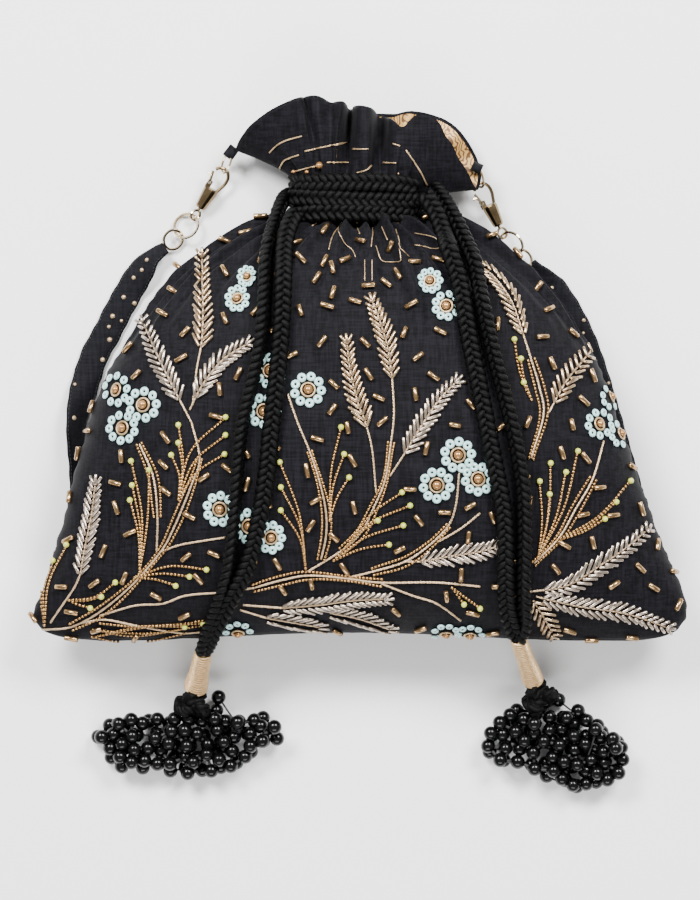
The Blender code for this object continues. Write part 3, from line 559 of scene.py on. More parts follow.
def laid(tree, points, step, lift):
    """A plan route laid on the cloth: points and normals, lifted along the normals."""
    places, ups = [], []
    for x, y in smooth_route(points, step):
        found = onto(tree, x, y)
        if found:
            places.append(found[0] + found[1] * lift)
            ups.append(found[1])
    return np.array(places), np.array(ups)


# ---------------------------------------------------------------- drawcords
LEFT_INNER = (
    (-65.0, -117.6, 38.8), (-61.2, -110.4, 46.0), (-55.4, -99.0, 53.4), (-48.0, -85.0, 59.3),
    (-42.8, -66.0, 63.3), (-39.4, -46.0, 65.3), (-37.2, -24.0, 64.9), (-35.0, -4.0, 62.8),
    (-33.4, 14.0, 59.6), (-32.6, 32.0, 54.8), (-32.4, 43.0, 50.2), (-32.2, 52.0, 44.4),
    (-30.4, 60.6, 38.4), (-27.4, 67.0, 33.0),
)
LEFT_OUTER = (
    (-25.0, 75.8, 3.4), (-29.8, 75.6, 8.0), (-32.4, 73.8, 16.0), (-34.2, 70.2, 24.0), (-36.6, 62.6, 32.0),
    (-38.8, 54.0, 39.4), (-40.2, 45.0, 47.2), (-40.4, 32.0, 53.6), (-41.6, 14.0, 58.8), (-44.6, -4.0, 61.8),
    (-49.4, -24.0, 63.6), (-51.6, -46.0, 64.1), (-53.2, -66.0, 62.3), (-55.4, -85.0, 58.4),
    (-60.2, -100.0, 51.6), (-64.8, -111.5, 42.8), (-67.0, -118.0, 36.4),
)
RIGHT_INNER = (
    (64.8, -112.6, 45.0), (63.2, -106.0, 49.6), (61.8, -97.0, 53.6), (61.2, -80.0, 59.6),
    (60.4, -62.0, 61.7),
    (57.0, -44.0, 63.2), (53.4, -26.0, 63.0), (50.0, -8.0, 61.5), (46.4, 10.0, 58.6), (43.8, 26.0, 55.0),
    (41.6, 38.0, 50.6), (38.2, 48.0, 45.2), (35.4, 58.0, 38.8), (32.4, 66.6, 34.0), (27.4, 74.4, 31.2),
)
RIGHT_OUTER = (
    (22.0, 82.3, 3.4), (28.0, 81.4, 8.0), (31.2, 79.2, 16.0), (34.6, 74.8, 24.4), (39.8, 65.6, 32.0),
    (44.6, 55.0, 38.4), (48.6, 45.0, 45.0), (50.4, 34.0, 50.3), (53.0, 20.0, 54.8), (56.8, 3.0, 58.3),
    (61.4, -15.0, 60.5), (65.4, -33.0, 60.9), (68.4, -52.0, 61.1), (69.0, -70.0, 59.5), (68.8, -86.0, 56.7),
    (69.0, -98.0, 52.8), (69.4, -106.0, 49.4), (70.0, -112.4, 44.6),
)
# angle round the neck in degrees, y
LEFT_TURNS = (
    (156, 65.4), (140, 66.0), (122, 66.4), (90, 66.2), (55, 66.0), (15, 66.4), (-25, 67.4), (-60, 68.6),
    (-90, 69.4), (-120, 70.2),
    (-155, 71.4), (-195, 72.4), (-235, 72.7), (-270, 72.7), (-305, 72.7), (-345, 73.0), (-385, 74.0),
    (-420, 75.2), (-450, 75.8), (-472, 76.0),
)
RIGHT_TURNS = (
    (24, 78.4), (40, 79.0), (58, 79.3), (90, 79.3), (125, 79.3), (165, 80.0), (205, 81.4), (240, 82.5),
    (270, 82.6), (292, 82.6),
)
CORD_LIFT = 4.0


def free_cord(name, points, tree, exit_at, wrap_top):
    """One free stretch of a drawcord, from the neck over the front to the top of its thread wrap."""
    route = smooth_route(points, 0.9)
    for p in route:
        found = onto(tree, p[0], p[1])
        if found is not None and p[2] > 40:
            p[2] = max(p[2], found[0][2] + CORD_LIFT)
    if exit_at == "last":
        route = route[::-1]
    route = smooth_route([*route[:-3:6], wrap_top], 0.9)
    for _ in range(6):
        route[1:-1] = (route[:-2] + 2 * route[1:-1] + route[2:]) / 4
    batch = Batch(f"{name}_braid")
    plait(batch, route)
    piece = batch.made(BRAID)
    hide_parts(name)


NECK_MIDDLE = (-1.0, 17.2)
NECK_REACH = (27.8, 14.0)


def neck_turns(side, turns):
    """The plaited rows round the neck, a little uneven."""
    points = []
    for degrees, y in turns:
        a = math.radians(degrees)
        swell = 1 + 0.012 * math.sin(2.3 * a + y)
        x = NECK_REACH[0] * swell * math.cos(a)
        z = NECK_REACH[1] * swell * math.sin(a)
        points.append((NECK_MIDDLE[0] + x, y + 0.7 * math.sin(1.7 * a) - 0.045 * x, NECK_MIDDLE[1] + z))
    route = smooth_route(points, 0.9)
    ups = np.column_stack([
        (route[:, 0] - NECK_MIDDLE[0]) / NECK_REACH[0] ** 2,
        np.zeros(len(route)),
        (route[:, 2] - NECK_MIDDLE[1]) / NECK_REACH[1] ** 2,
    ])
    batch = Batch(f"neck_braid_{side}")
    plait(batch, route, 2.8, 1.35, 1.65, up=ups, phase=1.0 if side == "left" else 2.2)
    piece = batch.made(BRAID)
    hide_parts(f"neck_turns_{side}")


# ---------------------------------------------------------------- tassels
LEFT_WRAP = ((-67.1, -121.6, 31.8), (-71.2, -138.0, 12.0))
RIGHT_WRAP = ((67.3, -115.4, 42.0), (75.0, -134.8, 13.4))
LEFT_KNOT = (-72.4, -145.4, 6.9)
RIGHT_KNOT = (77.6, -141.8, 6.9)


def axes_along(direction):
    """Unit vectors along, across and over a direction that isn't upright."""
    along = direction / np.linalg.norm(direction)
    across = np.cross(along, (0, 0, 1.0))
    across /= np.linalg.norm(across)
    return along, across, np.cross(across, along)


def thread_wrap(side, ends, widths):
    """Gold thread wound round the two cord ends, wider towards the knot."""
    start, end = (np.array(p, float) for p in ends)
    reach = np.linalg.norm(end - start)
    turns = int(reach / 1.4)
    t = np.linspace(0, 1, turns * 18)
    along, across, up = axes_along(end - start)
    radius = widths[0] + (widths[1] - widths[0]) * t + 0.15 * np.sin(9 * t)
    spin = 2 * math.pi * turns * t
    line = start + along * (reach * t)[:, None]
    line = line + across * (radius * np.cos(spin))[:, None] + up * (radius * np.sin(spin))[:, None]
    batch = Batch(f"wound_thread_{side}")
    tube(batch, line, 0.62, 6)
    core = start + along * (reach * np.linspace(0.01, 0.99, 6))[:, None]
    tube(batch, core, np.linspace(widths[0] - 0.1, widths[1] - 0.1, 6), 18)
    piece = batch.made(WRAP)
    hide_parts(f"thread_wrap_{side}")


def knot(side, centre, wrap_ends):
    """A loose overhand knot of the cord, below the thread wrap."""
    start, end = (np.array(p, float) for p in wrap_ends)
    along, across, up = axes_along((end - start) * (1, 1, 0.15))
    t = 2 * math.pi * np.arange(110) / 110
    line = np.array(centre, float) + np.array((0, 0.6, 4.6))
    line = line + across * (2.45 * (np.sin(t) + 1.35 * np.sin(2 * t)))[:, None]
    line = line + along * (2.4 * (np.cos(t) - 1.35 * np.cos(2 * t)))[:, None]
    line = line + up * (2.3 * -np.sin(3 * t))[:, None]
    batch = Batch(f"knot_{side}")
    tube(batch, line, 2.5, 12, closed=True)
    plait(batch, line, 2.1, 1.9, 1.25, 7.4)
    piece = batch.made(BRAID)
    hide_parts(f"cord_knot_{side}")


def bead_strands():
    """Round beads on their threads, in the places of the CAD strands' beads."""
    heaps = {side: [] for side in SIDES}
    for name, source in list(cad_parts.items()):
        if not name.startswith("bead_strand"):
            continue
        centres = bead_centres(source)
        heaps[name.split("_")[2]].extend(centres)
        batch = Batch(name + "_beads")
        thread = Batch(name + "_thread")
        for i, centre in enumerate(centres):
            ahead = centres[min(i + 1, len(centres) - 1)] - centres[max(i - 1, 0)]
            axis = ahead / (np.linalg.norm(ahead) + 1e-9)
            ball(batch, centre, 3.25, axis, 20, 12, 0.96)
        tube(thread, smooth_route(centres, 1.5) if len(centres) > 1 else centres, 0.45, 5)
        piece = batch.made(JET)
        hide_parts(name)
        thread.made(THREAD)
    for side, centres in heaps.items():
        fill_heap(side, centres)


KNOT_FLOOR = {"left": -151.0, "right": -148.0}
HEAP_BEADS = 170
HEAP_TRIES = 26000
HEAP_LEVELS = (3.3, 5.3, 7.3, 9.3, 11.3)
HEAP_SPACING = 5.5


def fill_heap(side, centres):
    """The beads under and between the strands: each settles on the floor or on those below it."""
    heap = [tuple(c) for c in centres]
    middles = np.array(centres)[:, :2]
    added = []
    for _ in range(HEAP_TRIES):
        if len(added) >= HEAP_BEADS:
            break
        near = middles[RNG.randrange(len(middles))]
        place = near + (RNG.uniform(-7.5, 7.5), RNG.uniform(-7.5, 7.5))
        close = middles[np.hypot(*(middles - place).T) < 13.5]
        if len(close) < 4 or np.hypot(*(close.mean(0) - place)) > 5.2 or place[1] > KNOT_FLOOR[side]:
            continue
        for z in HEAP_LEVELS:
            if all(math.dist((*place, z), other) > HEAP_SPACING for other in heap):
                heap.append((*place, z))
                added.append((*place, z))
                break
    beads, thread = Batch(f"heap_{side}_beads"), Batch(f"heap_{side}_thread")
    for place in added:
        ball(beads, place, 3.2, (RNG.uniform(-1, 1), RNG.uniform(-1, 1), 0.3), 16, 9, 0.96)
        others = sorted(heap, key=lambda other: math.dist(other, place))[1:5]
        for other in others:
            tube(thread, [np.array(place), np.array(other)], 0.75, 5)
    piece = beads.made(JET)
    thread.made(THREAD)


def bead_centres(source):
    """The beads' middles: their plan places, at the heights that the CAD strand has there."""
    side, number = source.name.split("_")[2:4]
    plan = (LEFT_STRANDS if side == "left" else RIGHT_STRANDS)[int(number) - 1]
    points = np.array([v.co[:] for v in source.data.vertices]) / MM
    centres = []
    for x, y in plan:
        near = points[np.hypot(points[:, 0] - x, points[:, 1] - y) < 3.4]
        z = (near[:, 2].min() + near[:, 2].max()) / 2 if len(near) else 3.3
        centres.append((x, y, max(z, 3.35)))
    return np.array(centres)


LEFT_STRANDS = (
    ((-83, -154), (-92, -153), (-101, -154), (-109, -155), (-114, -160)),
    ((-80.5, -151.8), (-88.5, -158.5), (-97, -159), (-107, -158.5), (-103, -165), (-108.5, -164.5)),
    ((-76, -156.5), (-81, -163), (-86.5, -165.5), (-92, -164.5), (-98, -169), (-103.5, -172.5)),
    ((-68, -159.5), (-74, -164), (-70.5, -169), (-76, -173.5), (-82.5, -174.5)),
    ((-59, -157), (-56, -166), (-63, -167), (-60.5, -173)),
    ((-62.5, -148.5), (-58.5, -153), (-49, -158.5), (-47.5, -166.5), (-42, -161.5), (-36, -160.5)),
    ((-61.5, -142.5), (-53, -153), (-46, -152.5), (-43, -155), (-37, -155)),
)
RIGHT_STRANDS = (
    ((68.5, -148.5), (62.5, -154.5), (57.5, -159), (56.5, -166.5), (63, -164)),
    ((71, -152), (67.5, -157), (69.5, -165), (68.5, -170.5)),
    ((75.5, -153.5), (77, -163), (85.5, -166.5), (92.5, -173), (81.5, -177), (94.5, -181.5)),
    ((83.5, -156), (89.5, -161.5), (98.5, -166), (106.5, -170.5), (111.5, -174.5)),
    ((88.5, -151.5), (98.5, -159.5), (104.5, -159.5), (109.5, -160), (110.5, -164)),
    ((86.5, -144), (96.5, -152), (102, -156), (98, -174.5), (107.5, -178)),
)


# ---------------------------------------------------------------- strap, tabs and metal
STRAP_ROUTE = (
    (-84.6, 53.2, 4.6, -28), (-90.6, 48.8, 3.9, -28), (-95.4, 42.6, 3.0, -14), (-100.2, 35, 1.6, 0),
    (-106.2, 24.3, 1.2, 0), (-110.4, 16, 1.2, 0), (-115.4, 7, 1.3, 0), (-118.7, -2.4, 1.6, 2),
    (-121.4, -12.7, 3.5, 22), (-123.2, -21.7, 5.4, 44), (-123.4, -31.2, 5.8, 50), (-122.0, -40, 5.1, 40),
    (-120.6, -50, 3.3, 18), (-120.4, -62, 1.2, 0), (-122.2, -76, 1.2, 0), (-123.2, -88, 1.2, 0),
    (-119.6, -98.4, 1.2, 0), (-110, -104.6, 1.2, 0), (-94, -106.4, 1.2, 0), (-60, -106.4, 1.2, 0),
    (-20, -106.4, 1.2, 0), (20, -106.4, 1.2, 0), (60, -106.4, 1.2, 0), (94, -106.4, 1.2, 0),
    (110, -104.6, 1.2, 0), (120.6, -97.6, 1.2, 0), (124.4, -86, 1.2, 0), (122, -70, 1.2, 0),
    (115.4, -46, 1.2, 0), (109, -24, 1.2, 0), (103, -4, 1.2, 0), (97.4, 12, 1.2, 0), (91, 25, 1.3, 0),
    (84.6, 34.6, 1.9, 4), (77.4, 42.8, 3.9, 24), (74.2, 46.2, 5.2, 24),
)


def strap():
    """The beaded band, laid round the back of the pouch, with its flecks and edge stitches."""
    route = smooth_route(STRAP_ROUTE, 1.6)
    _, side, up = frames(route[:, :3], np.tile((0, 0, 1.0), (len(route), 1)))
    walked = np.concatenate([[0], np.cumsum(np.linalg.norm(np.diff(route[:, :3], axis=0), axis=1))])
    rings, crown = [], []
    for p, s, u, w in zip(route, side, up, walked):
        tilt = math.radians(p[3])
        across, above = s * math.cos(tilt) + u * math.sin(tilt), u * math.cos(tilt) - s * math.sin(tilt)
        near_end = min(w, walked[-1] - w)
        half = 2.9 + 3.2 * min(1, near_end / 14)
        half += 0.15 * math.sin(w * 0.7)
        ring = []
        for t in np.linspace(-1, 1, 9):
            crown_height = (0.75 + 0.15 * math.sin(w * 0.31 + t * 2)) * (1 - t**6) ** 0.5
            ring.append(p[:3] + across * half * t + above * crown_height)
        for t in np.linspace(0.86, -0.86, 7):
            ring.append(p[:3] + across * half * t - above * 0.75)
        for q in ring:
            q[2] = max(q[2], 0.1)
        rings.append(ring)
        crown.append((p[:3] + above * 0.75, across, above, half))
    batch = Batch("strap_band")
    batch.rings(rings)
    piece = batch.made(SILK_STRAP)
    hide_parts("strap")
    dots = Batch("strap_beads")
    for k, i in enumerate(range(6, len(crown) - 6, 3)):
        place, across, above, half = crown[i]
        for sideways in ((-0.55, 0.25), (0.6, -0.1))[k % 2]:
            if RNG.random() < 0.4:
                at = place + across * half * (sideways + RNG.uniform(-0.2, 0.2))
                ball(dots, at + above * 0.1, RNG.uniform(0.7, 1.25), above, 7, 5, 0.7)
    stitch = Batch("strap_stitches")
    for edge in (-0.86, 0.86):
        for i in range(2, len(crown) - 2):
            place, across, above, half = crown[i]
            ahead = crown[i + 1][0] - place
            at = place + across * half * edge + above * -0.12
            tube(stitch, [at, at + ahead * 0.6], 0.16, 4)
    beads = dots.made(STEM_GOLD)
    seam = stitch.made(THREAD)


LINK_ENDS = {"left": (-56.4, 93.6, 9.6), "right": (50.6, 87.2, 13.4)}
TAB_HALF_WIDTH = 2.3


def frill_tab(side, root):
    """A folded cloth tab from the frill's corner, over the wire link."""
    link, root = np.array(LINK_ENDS[side]), np.array(root)
    along, across, up = axes_along(link - root)
    batch = Batch(f"tab_{side}")
    reach = np.linalg.norm(link - root)
    profile = [(0, 1.0), (reach * 0.55, 1.5)]
    for a in np.linspace(100, -100, 12):
        profile.append((reach + 2.1 * math.cos(math.radians(a)), 2.1 * math.sin(math.radians(a))))
    profile += [(reach * 0.55, -1.5), (0, -1.0)]
    inner = [(0, 0.35), (reach * 0.55, 0.8)]
    for a in np.linspace(100, -100, 12):
        inner.append((reach + 1.55 * math.cos(math.radians(a)), 1.55 * math.sin(math.radians(a))))
    inner += [(reach * 0.55, -0.8), (0, -0.35)]
    rings = []
    for (a, b), (c, d) in zip(profile, inner):
        rings.append([
            root + along * a + up * b - across * TAB_HALF_WIDTH,
            root + along * a + up * b + across * TAB_HALF_WIDTH,
            root + along * c + up * d + across * TAB_HALF_WIDTH,
            root + along * c + up * d - across * TAB_HALF_WIDTH,
        ])
    batch.rings(rings)
    piece = batch.made(SILK_STRAP)
    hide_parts(f"frill_tab_{side}")


def paint_metal():
    """The CAD's own metal pieces, with better materials."""
    for name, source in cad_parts.items():
        if name.startswith(("wire_link", "swivel_eye", "big_ring", "small_ring", "gate_pin", "clasp_gate")):
            material = METAL
        elif name.startswith("clasp_hook"):
            material = BARREL
        else:
            continue
        source.data.materials.clear()
        source.data.materials.append(material)


# ---------------------------------------------------------------- embroidery
TAKEN = []


def take(points, radius):
    """Keeps scattered beads off these places."""
    TAKEN.extend((x, y, radius) for x, y in points)


class Work:
    """The batches of the embroidery, one for each sort of bead or thread."""

    silver = Batch("frond_bugles")
    gilt = Batch("gilt_frond_bugles")
    bronze = Batch("bronze_bugles")
    stems = Batch("stem_cords")
    stitches = Batch("stitched_thread")
    mint = Batch("flower_sequins")
    seeds = Batch("seed_beads")
    tips = Batch("tip_beads")
    centres = Batch("flower_centres")


def bugle(batch, place, normal, heading, length, radius, sides=7):
    """A short glass tube lying on the cloth, heading in plan degrees."""
    ahead = np.array((math.cos(heading), math.sin(heading), 0.0))
    ahead -= normal * ahead.dot(normal)
    ahead /= np.linalg.norm(ahead)
    side = np.cross(normal, ahead)
    rings = []
    for at, r in ((-0.5, 0.72), (-0.44, 1.0), (0.44, 1.0), (0.5, 0.72)):
        middle = place + ahead * length * at
        rings.append([
            middle + radius * r * (math.cos(a) * side + math.sin(a) * normal)
            for a in 2 * math.pi * (np.arange(sides) + 0.5) / sides
        ])
    batch.rings(rings)


def stem(tree, points, radius=0.55):
    places, ups = laid(tree, points, 0.9, radius * 0.9)
    if len(places) > 2:
        twist(Work.stems, places, radius, 2.6, ups)
    take(smooth_route(points, 4.0), 3.6)


def stitch_line(tree, points, radius=0.3):
    places, ups = laid(tree, points, 0.8, radius * 0.9)
    if len(places) > 2:
        twist(Work.stitches, places, radius, 1.7, ups, 4)


def frond(tree, points, reach=6.9, spacing=2.8, lean=37, bare=0.0, batch=Work.silver):
    """A feather: pairs of slim bugles on both sides of a cord, shorter towards the tip."""
    line = smooth_route(points, spacing)
    stem(tree, points, 0.5)
    take(line, 7.0)
    count = len(line)
    for i, (x, y) in enumerate(line):
        share = i / max(1, count - 1)
        if share < bare:
            continue
        ahead = line[min(i + 1, count - 1)] - line[max(i - 1, 0)]
        heading = math.atan2(ahead[1], ahead[0])
        size = reach * (0.62 + 0.38 * math.sin(math.pi * min(1, 0.12 + share * 0.95)))
        for turn in (-1, 1):
            angle = heading + turn * math.radians(lean + RNG.uniform(-5, 5))
            out = size * 0.5 + 0.35
            found = onto(tree, x + math.cos(angle) * out, y + math.sin(angle) * out)
            if found:
                bugle(batch, found[0] + found[1] * 0.8, found[1], angle, size, 0.74, 6)
    x, y = line[-1]
    ahead = line[-1] - line[-2]
    heading = math.atan2(ahead[1], ahead[0])
    found = onto(tree, x + math.cos(heading) * 2.2, y + math.sin(heading) * 2.2)
    if found:
        bugle(batch, found[0] + found[1] * 0.85, found[1], heading, 4.8, 0.78, 6)


PETALS = 9


def flower(tree, x, y, wide, tall, turn):
    """A ring of sequins round a bronze bead in a gold coil. wide and tall are shares of its full size."""
    middle = onto(tree, x, y)
    if not middle:
        return
    size = 0.35 + 0.65 * math.sqrt(wide * tall)
    for k in range(PETALS):
        a = turn + 2 * math.pi * k / PETALS
        px, py = x + 5.8 * wide * math.cos(a), y + 5.8 * tall * math.sin(a)
        found = onto(tree, px, py)
        if found:
            tilt = found[1] + np.array((RNG.uniform(-0.12, 0.12), RNG.uniform(-0.12, 0.12), 0))
            tilt /= np.linalg.norm(tilt)
            torus(Work.mint, found[0] + found[1] * 0.8, tilt, 1.25 * size, 0.82 * size, 12, 6)
    place, normal = middle
    ball(Work.centres, place + normal * 1.3, 2.0 * size, normal, 10, 6, 0.8)
    torus(Work.stitches, place + normal * 0.7, normal, 2.9 * size, 0.5, 18, 5)
    take([(x, y)], 11.4 * size)


def beaded_line(tree, points, aside):
    """Seed beads sewn close together, beside a stem."""
    line = smooth_route(points, 1.55)
    ahead = np.gradient(line, axis=0)
    ahead /= np.linalg.norm(ahead, axis=1)[:, None]
    reach = np.linspace(0, len(line) * 1.55, len(line))
    offset = aside * (1 + 0.35 * np.sin(reach / 9))
    line = line + np.column_stack([-ahead[:, 1], ahead[:, 0]]) * offset[:, None]
    for (x, y), (dx, dy) in zip(line, ahead):
        found = onto(tree, x, y)
        if found:
            bugle(Work.seeds, found[0] + found[1] * 0.6, found[1], math.atan2(dy, dx), 1.2, 0.58, 6)


def seed_string(tree, base, tip, bend, size=0.62):
    """Little beads in a line that ends in a yellow-green one."""
    base, tip = np.array(base, float), np.array(tip, float)
    across = np.array((-(tip - base)[1], (tip - base)[0]))
    middle = (base + tip) / 2 + across * bend
    line = smooth_route([base, middle, tip], 1.55)
    for i, (x, y) in enumerate(line[:-1]):
        found = onto(tree, x, y)
        if found:
            ahead = line[i + 1] - line[i]
            heading = math.atan2(ahead[1], ahead[0])
            bugle(Work.seeds, found[0] + found[1] * size, found[1], heading, 1.2, size, 6)
    found = onto(tree, *line[-1])
    if found:
        ball(Work.tips, found[0] + found[1] * 1.0, 1.35, found[1], 8, 5)
    take(line[::3], 3.4)


# routes of the stem cords
STEMS = (
    ((-136.3, -112.0), (-123.8, -110.7), (-110.9, -103.8), (-96.8, -91.8), (-85.1, -78.0),
     (-80.4, -69.4), (-76.1, -59.6), (-72.2, -49.7), (-68.8, -38.9), (-72.2, -23.4)),
    ((-85.1, -78.5), (-76.1, -75.5), (-57.6, -72.5)),
    ((-87.3, -78.5), (-86.9, -63.4), (-88.6, -47.1), (-94.6, -32.5)),
    ((-111.8, -106.0), (-96.8, -101.7), (-84.7, -100.8), (-74.8, -97.4), (-60.2, -96.1)),
    ((-119.1, -109.0), (-109.2, -107.7), (-93.7, -110.7), (-76.1, -113.3), (-63.2, -112.0)),
    ((-120.0, -88.4), (-123.0, -94.8), (-132.9, -109.0)),
    ((-45.6, -94.0), (-32.7, -90.5), (-21.5, -88.8), (-5.2, -90.1), (9.0, -91.8), (33.1, -91.8),
     (51.6, -93.5)),
    ((-5.2, -89.7), (5.6, -87.1), (19.4, -82.8), (29.7, -75.9), (37.8, -67.7), (41.3, -58.3),
     (42.6, -44.9)),
    ((33.1, -74.6), (43.4, -68.6), (51.6, -62.1)),
    ((-22.4, -87.1), (-7.7, -78.0), (0.4, -70.3), (5.6, -60.4), (10.8, -47.9), (13.3, -32.0),
     (14.6, -19.6), (13.8, -4.1)),
    ((-16.8, -81.9), (-14.6, -72.0), (-14.6, -61.7), (-17.6, -47.9), (-21.5, -35.9), (-26.7, -23.4),
     (-31.0, -11.0)),
    ((19.4, -82.8), (26.2, -82.8)),
    ((-50.3, -101.3), (-33.1, -102.6)),
    ((-51.6, -103.4), (-40.0, -106.9)),
    ((9.0, -92.2), (22.8, -97.4), (33.1, -100.8), (43.4, -108.1)),
    ((70.1, 14.4), (73.5, 3.7), (77.0, -8.4), (78.7, -20.0), (73.5, -38.5)),
    ((104.5, -31.2), (99.8, -47.5), (92.5, -60.4), (85.6, -72.5), (74.8, -83.6)),
    ((-60.2, -96.1), (-45.6, -94.0)),
    ((73.5, -95.7), (64.5, -98.7)),
)
# route, share of it that is bare, and whether its bugles are gilt
FRONDS = (
    (((-72.2, -23.4), (-77.4, -13.5), (-86.0, 3.7), (-92.5, 18.7)), 0.18, 0),
    (((-73.1, -17.8), (-67.5, -7.1), (-59.3, 3.2), (-49.0, 10.1)), 0.1, 0),
    (((-71.8, -15.7), (-70.1, -0.6), (-67.5, 16.6), (-67.9, 47.5)), 0.35, 1),
    (((-120.0, -88.4), (-117.8, -75.9), (-115.2, -63.0), (-113.5, -50.1)), 0.0, 0),
    (((13.8, -4.1), (12.0, 8.0), (9.0, 18.7), (5.6, 28.2)), 0.0, 1),
    (((12.9, -46.2), (18.5, -37.6), (25.8, -25.6), (34.0, -13.5), (40.9, -6.2)), 0.22, 0),
    (((6.9, -53.1), (5.2, -34.6), (2.1, -22.6), (-0.9, -14.8), (-4.3, -0.2), (-5.6, 10.5)), 0.42, 1),
    (((26.2, -82.8), (38.7, -80.6), (51.6, -78.5), (60.2, -75.9)), 0.0, 0),
    (((-33.1, -102.6), (-17.2, -101.3), (-3.4, -99.5), (10.3, -98.7)), 0.0, 0),
    (((-12.9, -104.7), (0.0, -107.3), (12.5, -111.6)), 0.0, 0),
    (((-40.0, -106.9), (-30.1, -108.6), (-17.6, -110.7)), 0.0, 0),
    (((70.1, 14.4), (64.9, 28.6), (57.6, 38.9), (50.7, 44.1)), 0.0, 1),
    (((80.4, -20.0), (87.7, -6.7), (93.7, 1.1), (99.8, 8.4)), 0.12, 1),
    (((73.5, -95.7), (89.0, -93.1), (103.2, -84.5), (114.0, -77.2), (122.1, -70.3)), 0.1, 0),
    (((75.7, -97.8), (92.5, -101.7), (114.0, -105.1), (131.2, -110.7)), 0.05, 0),
    (((74.4, -99.5), (78.3, -105.6), (82.6, -112.9)), 0.0, 1),
)
# x, y, width and height as shares of a full flower
FLOWERS = (
    (-104.5, -9.2, 0.8, 1),
    (-93.1, -15.7, 1, 1),
    (-101.9, -25.6, 0.95, 0.95),
    (-52.7, 29.9, 0.7, 0.76),
    (-48.6, 39.3, 0.55, 0.62),
    (-41.3, -18.3, 1, 1),
    (-38.7, -1.1, 0.9, 1),
    (-22.4, -9.2, 1, 1),
    (-60.2, -60.4, 0.95, 1),
    (-47.7, -67.7, 0.95, 1),
    (-38.3, -72.5, 0.8, 0.95),
    (30.1, 37.6, 0.72, 0.72),
    (37.2, 26.9, 0.84, 0.84),
    (42.1, -37.2, 1, 1),
    (32.9, -50.1, 1, 1),
    (50.7, -47.5, 0.95, 0.95),
    (102.6, -23.9, 0.84, 0.86),
    (111.8, -28.2, 0.72, 0.8),
    (107.5, -12.3, 0.64, 0.78),
    (-52.5, -113.3, 0.9, 0.7),
    (37.0, -113.7, 0.9, 0.6),
    (47.3, -114.2, 0.9, 0.6),
)
BEADED_STEMS = (
    ((-123.8, -110.7), (-110.9, -103.8), (-96.8, -91.8), (-85.1, -78.0), (-80.4, -69.4), (-76.1, -59.6),
     (-72.2, -49.7), (-68.8, -38.9)),
    ((-86.9, -63.4), (-88.6, -47.1), (-94.6, -32.5)),
    ((-45.6, -94.0), (-32.7, -90.5), (-21.5, -88.8), (-5.2, -90.1), (9.0, -91.8)),
    ((-7.7, -78.0), (0.4, -70.3), (5.6, -60.4), (10.8, -47.9), (13.3, -32.0)),
    ((-16.8, -81.9), (-14.6, -72.0), (-14.6, -61.7), (-17.6, -47.9), (-21.5, -35.9)),
    ((5.6, -87.1), (19.4, -82.8), (29.7, -75.9), (37.8, -67.7)),
    ((73.5, 3.7), (77.0, -8.4), (78.7, -20.0), (73.5, -38.5)),
    ((99.8, -47.5), (92.5, -60.4), (85.6, -72.5), (74.8, -83.6)),
    ((-114.8, -113.3), (-103.2, -115.0), (-90.3, -115.0), (-75.7, -112.4)),
    ((-111.8, -110.7), (-98.9, -112.4), (-86.0, -111.6), (-67.5, -109.0)),
)
# foot, then each string's tip and its bend
SEED_STRINGS = (
    ((-135.4, -109.9), (((-135.0, -87.1), 0.06), ((-131.2, -82.8), 0.08), ((-125.6, -75.9), 0.08))),
    ((-124.7, -99.5), (((-104.9, -91.8), -0.12), ((-110.9, -97.8), -0.06), ((-115.7, -102.6), -0.05))),
    ((-96.8, -89.7), (((-65.8, -86.2), 0.1), ((-73.1, -89.2), 0.06), ((-79.1, -93.1), 0.05))),
    ((-94.6, -87.5), (((-98.0, -39.8), -0.06), ((-97.6, -50.1), -0.05), ((-98.5, -56.5), -0.05),
     ((-90.3, -43.6), -0.03))),
    ((-77.8, -56.1), (((-80.8, -37.2), -0.1), ((-77.8, -32.0), -0.07), ((-77.8, -24.3), -0.06),
     ((-57.6, -20.9), 0.14), ((-57.6, -28.6), 0.12), ((-58.0, -36.8), 0.1))),
    ((-23.2, -87.1), (((-34.0, -60.8), -0.1), ((-34.0, -51.0), -0.08), ((-34.4, -40.2), -0.06))),
    ((-12.9, -65.1), (((-4.7, -46.7), 0.06), ((-6.9, -36.8), 0.06), ((-8.2, -25.2), 0.05))),
    ((-11.2, -82.3), (((21.5, -58.7), 0.1), ((18.5, -67.3), 0.08), ((12.5, -75.5), 0.06))),
    ((-5.2, -75.9), (((18.1, -53.1), 0.08), ((7.7, -65.1), 0.05))),
    ((39.6, -94.0), (((44.7, -100.8), 0), ((51.6, -102.6), 0))),
    ((84.7, -73.7), (((115.7, -48.4), -0.08), ((109.6, -57.4), -0.08), ((104.9, -64.7), -0.06))),
    ((76.5, -81.1), (((81.7, -40.6), -0.05), ((77.0, -48.4), -0.04), ((88.2, -44.5), -0.05),
     ((93.3, -35.5), -0.06), ((81.3, -54.0), -0.04))),
    ((73.5, -13.5), (((66.2, 12.3), 0.06), ((68.8, 4.1), 0.04), ((70.1, -6.2), 0.03))),
    ((-114.8, -115.0), (((-75.2, -110.3), 0.05), ((-67.5, -109.0), 0.03))),
)
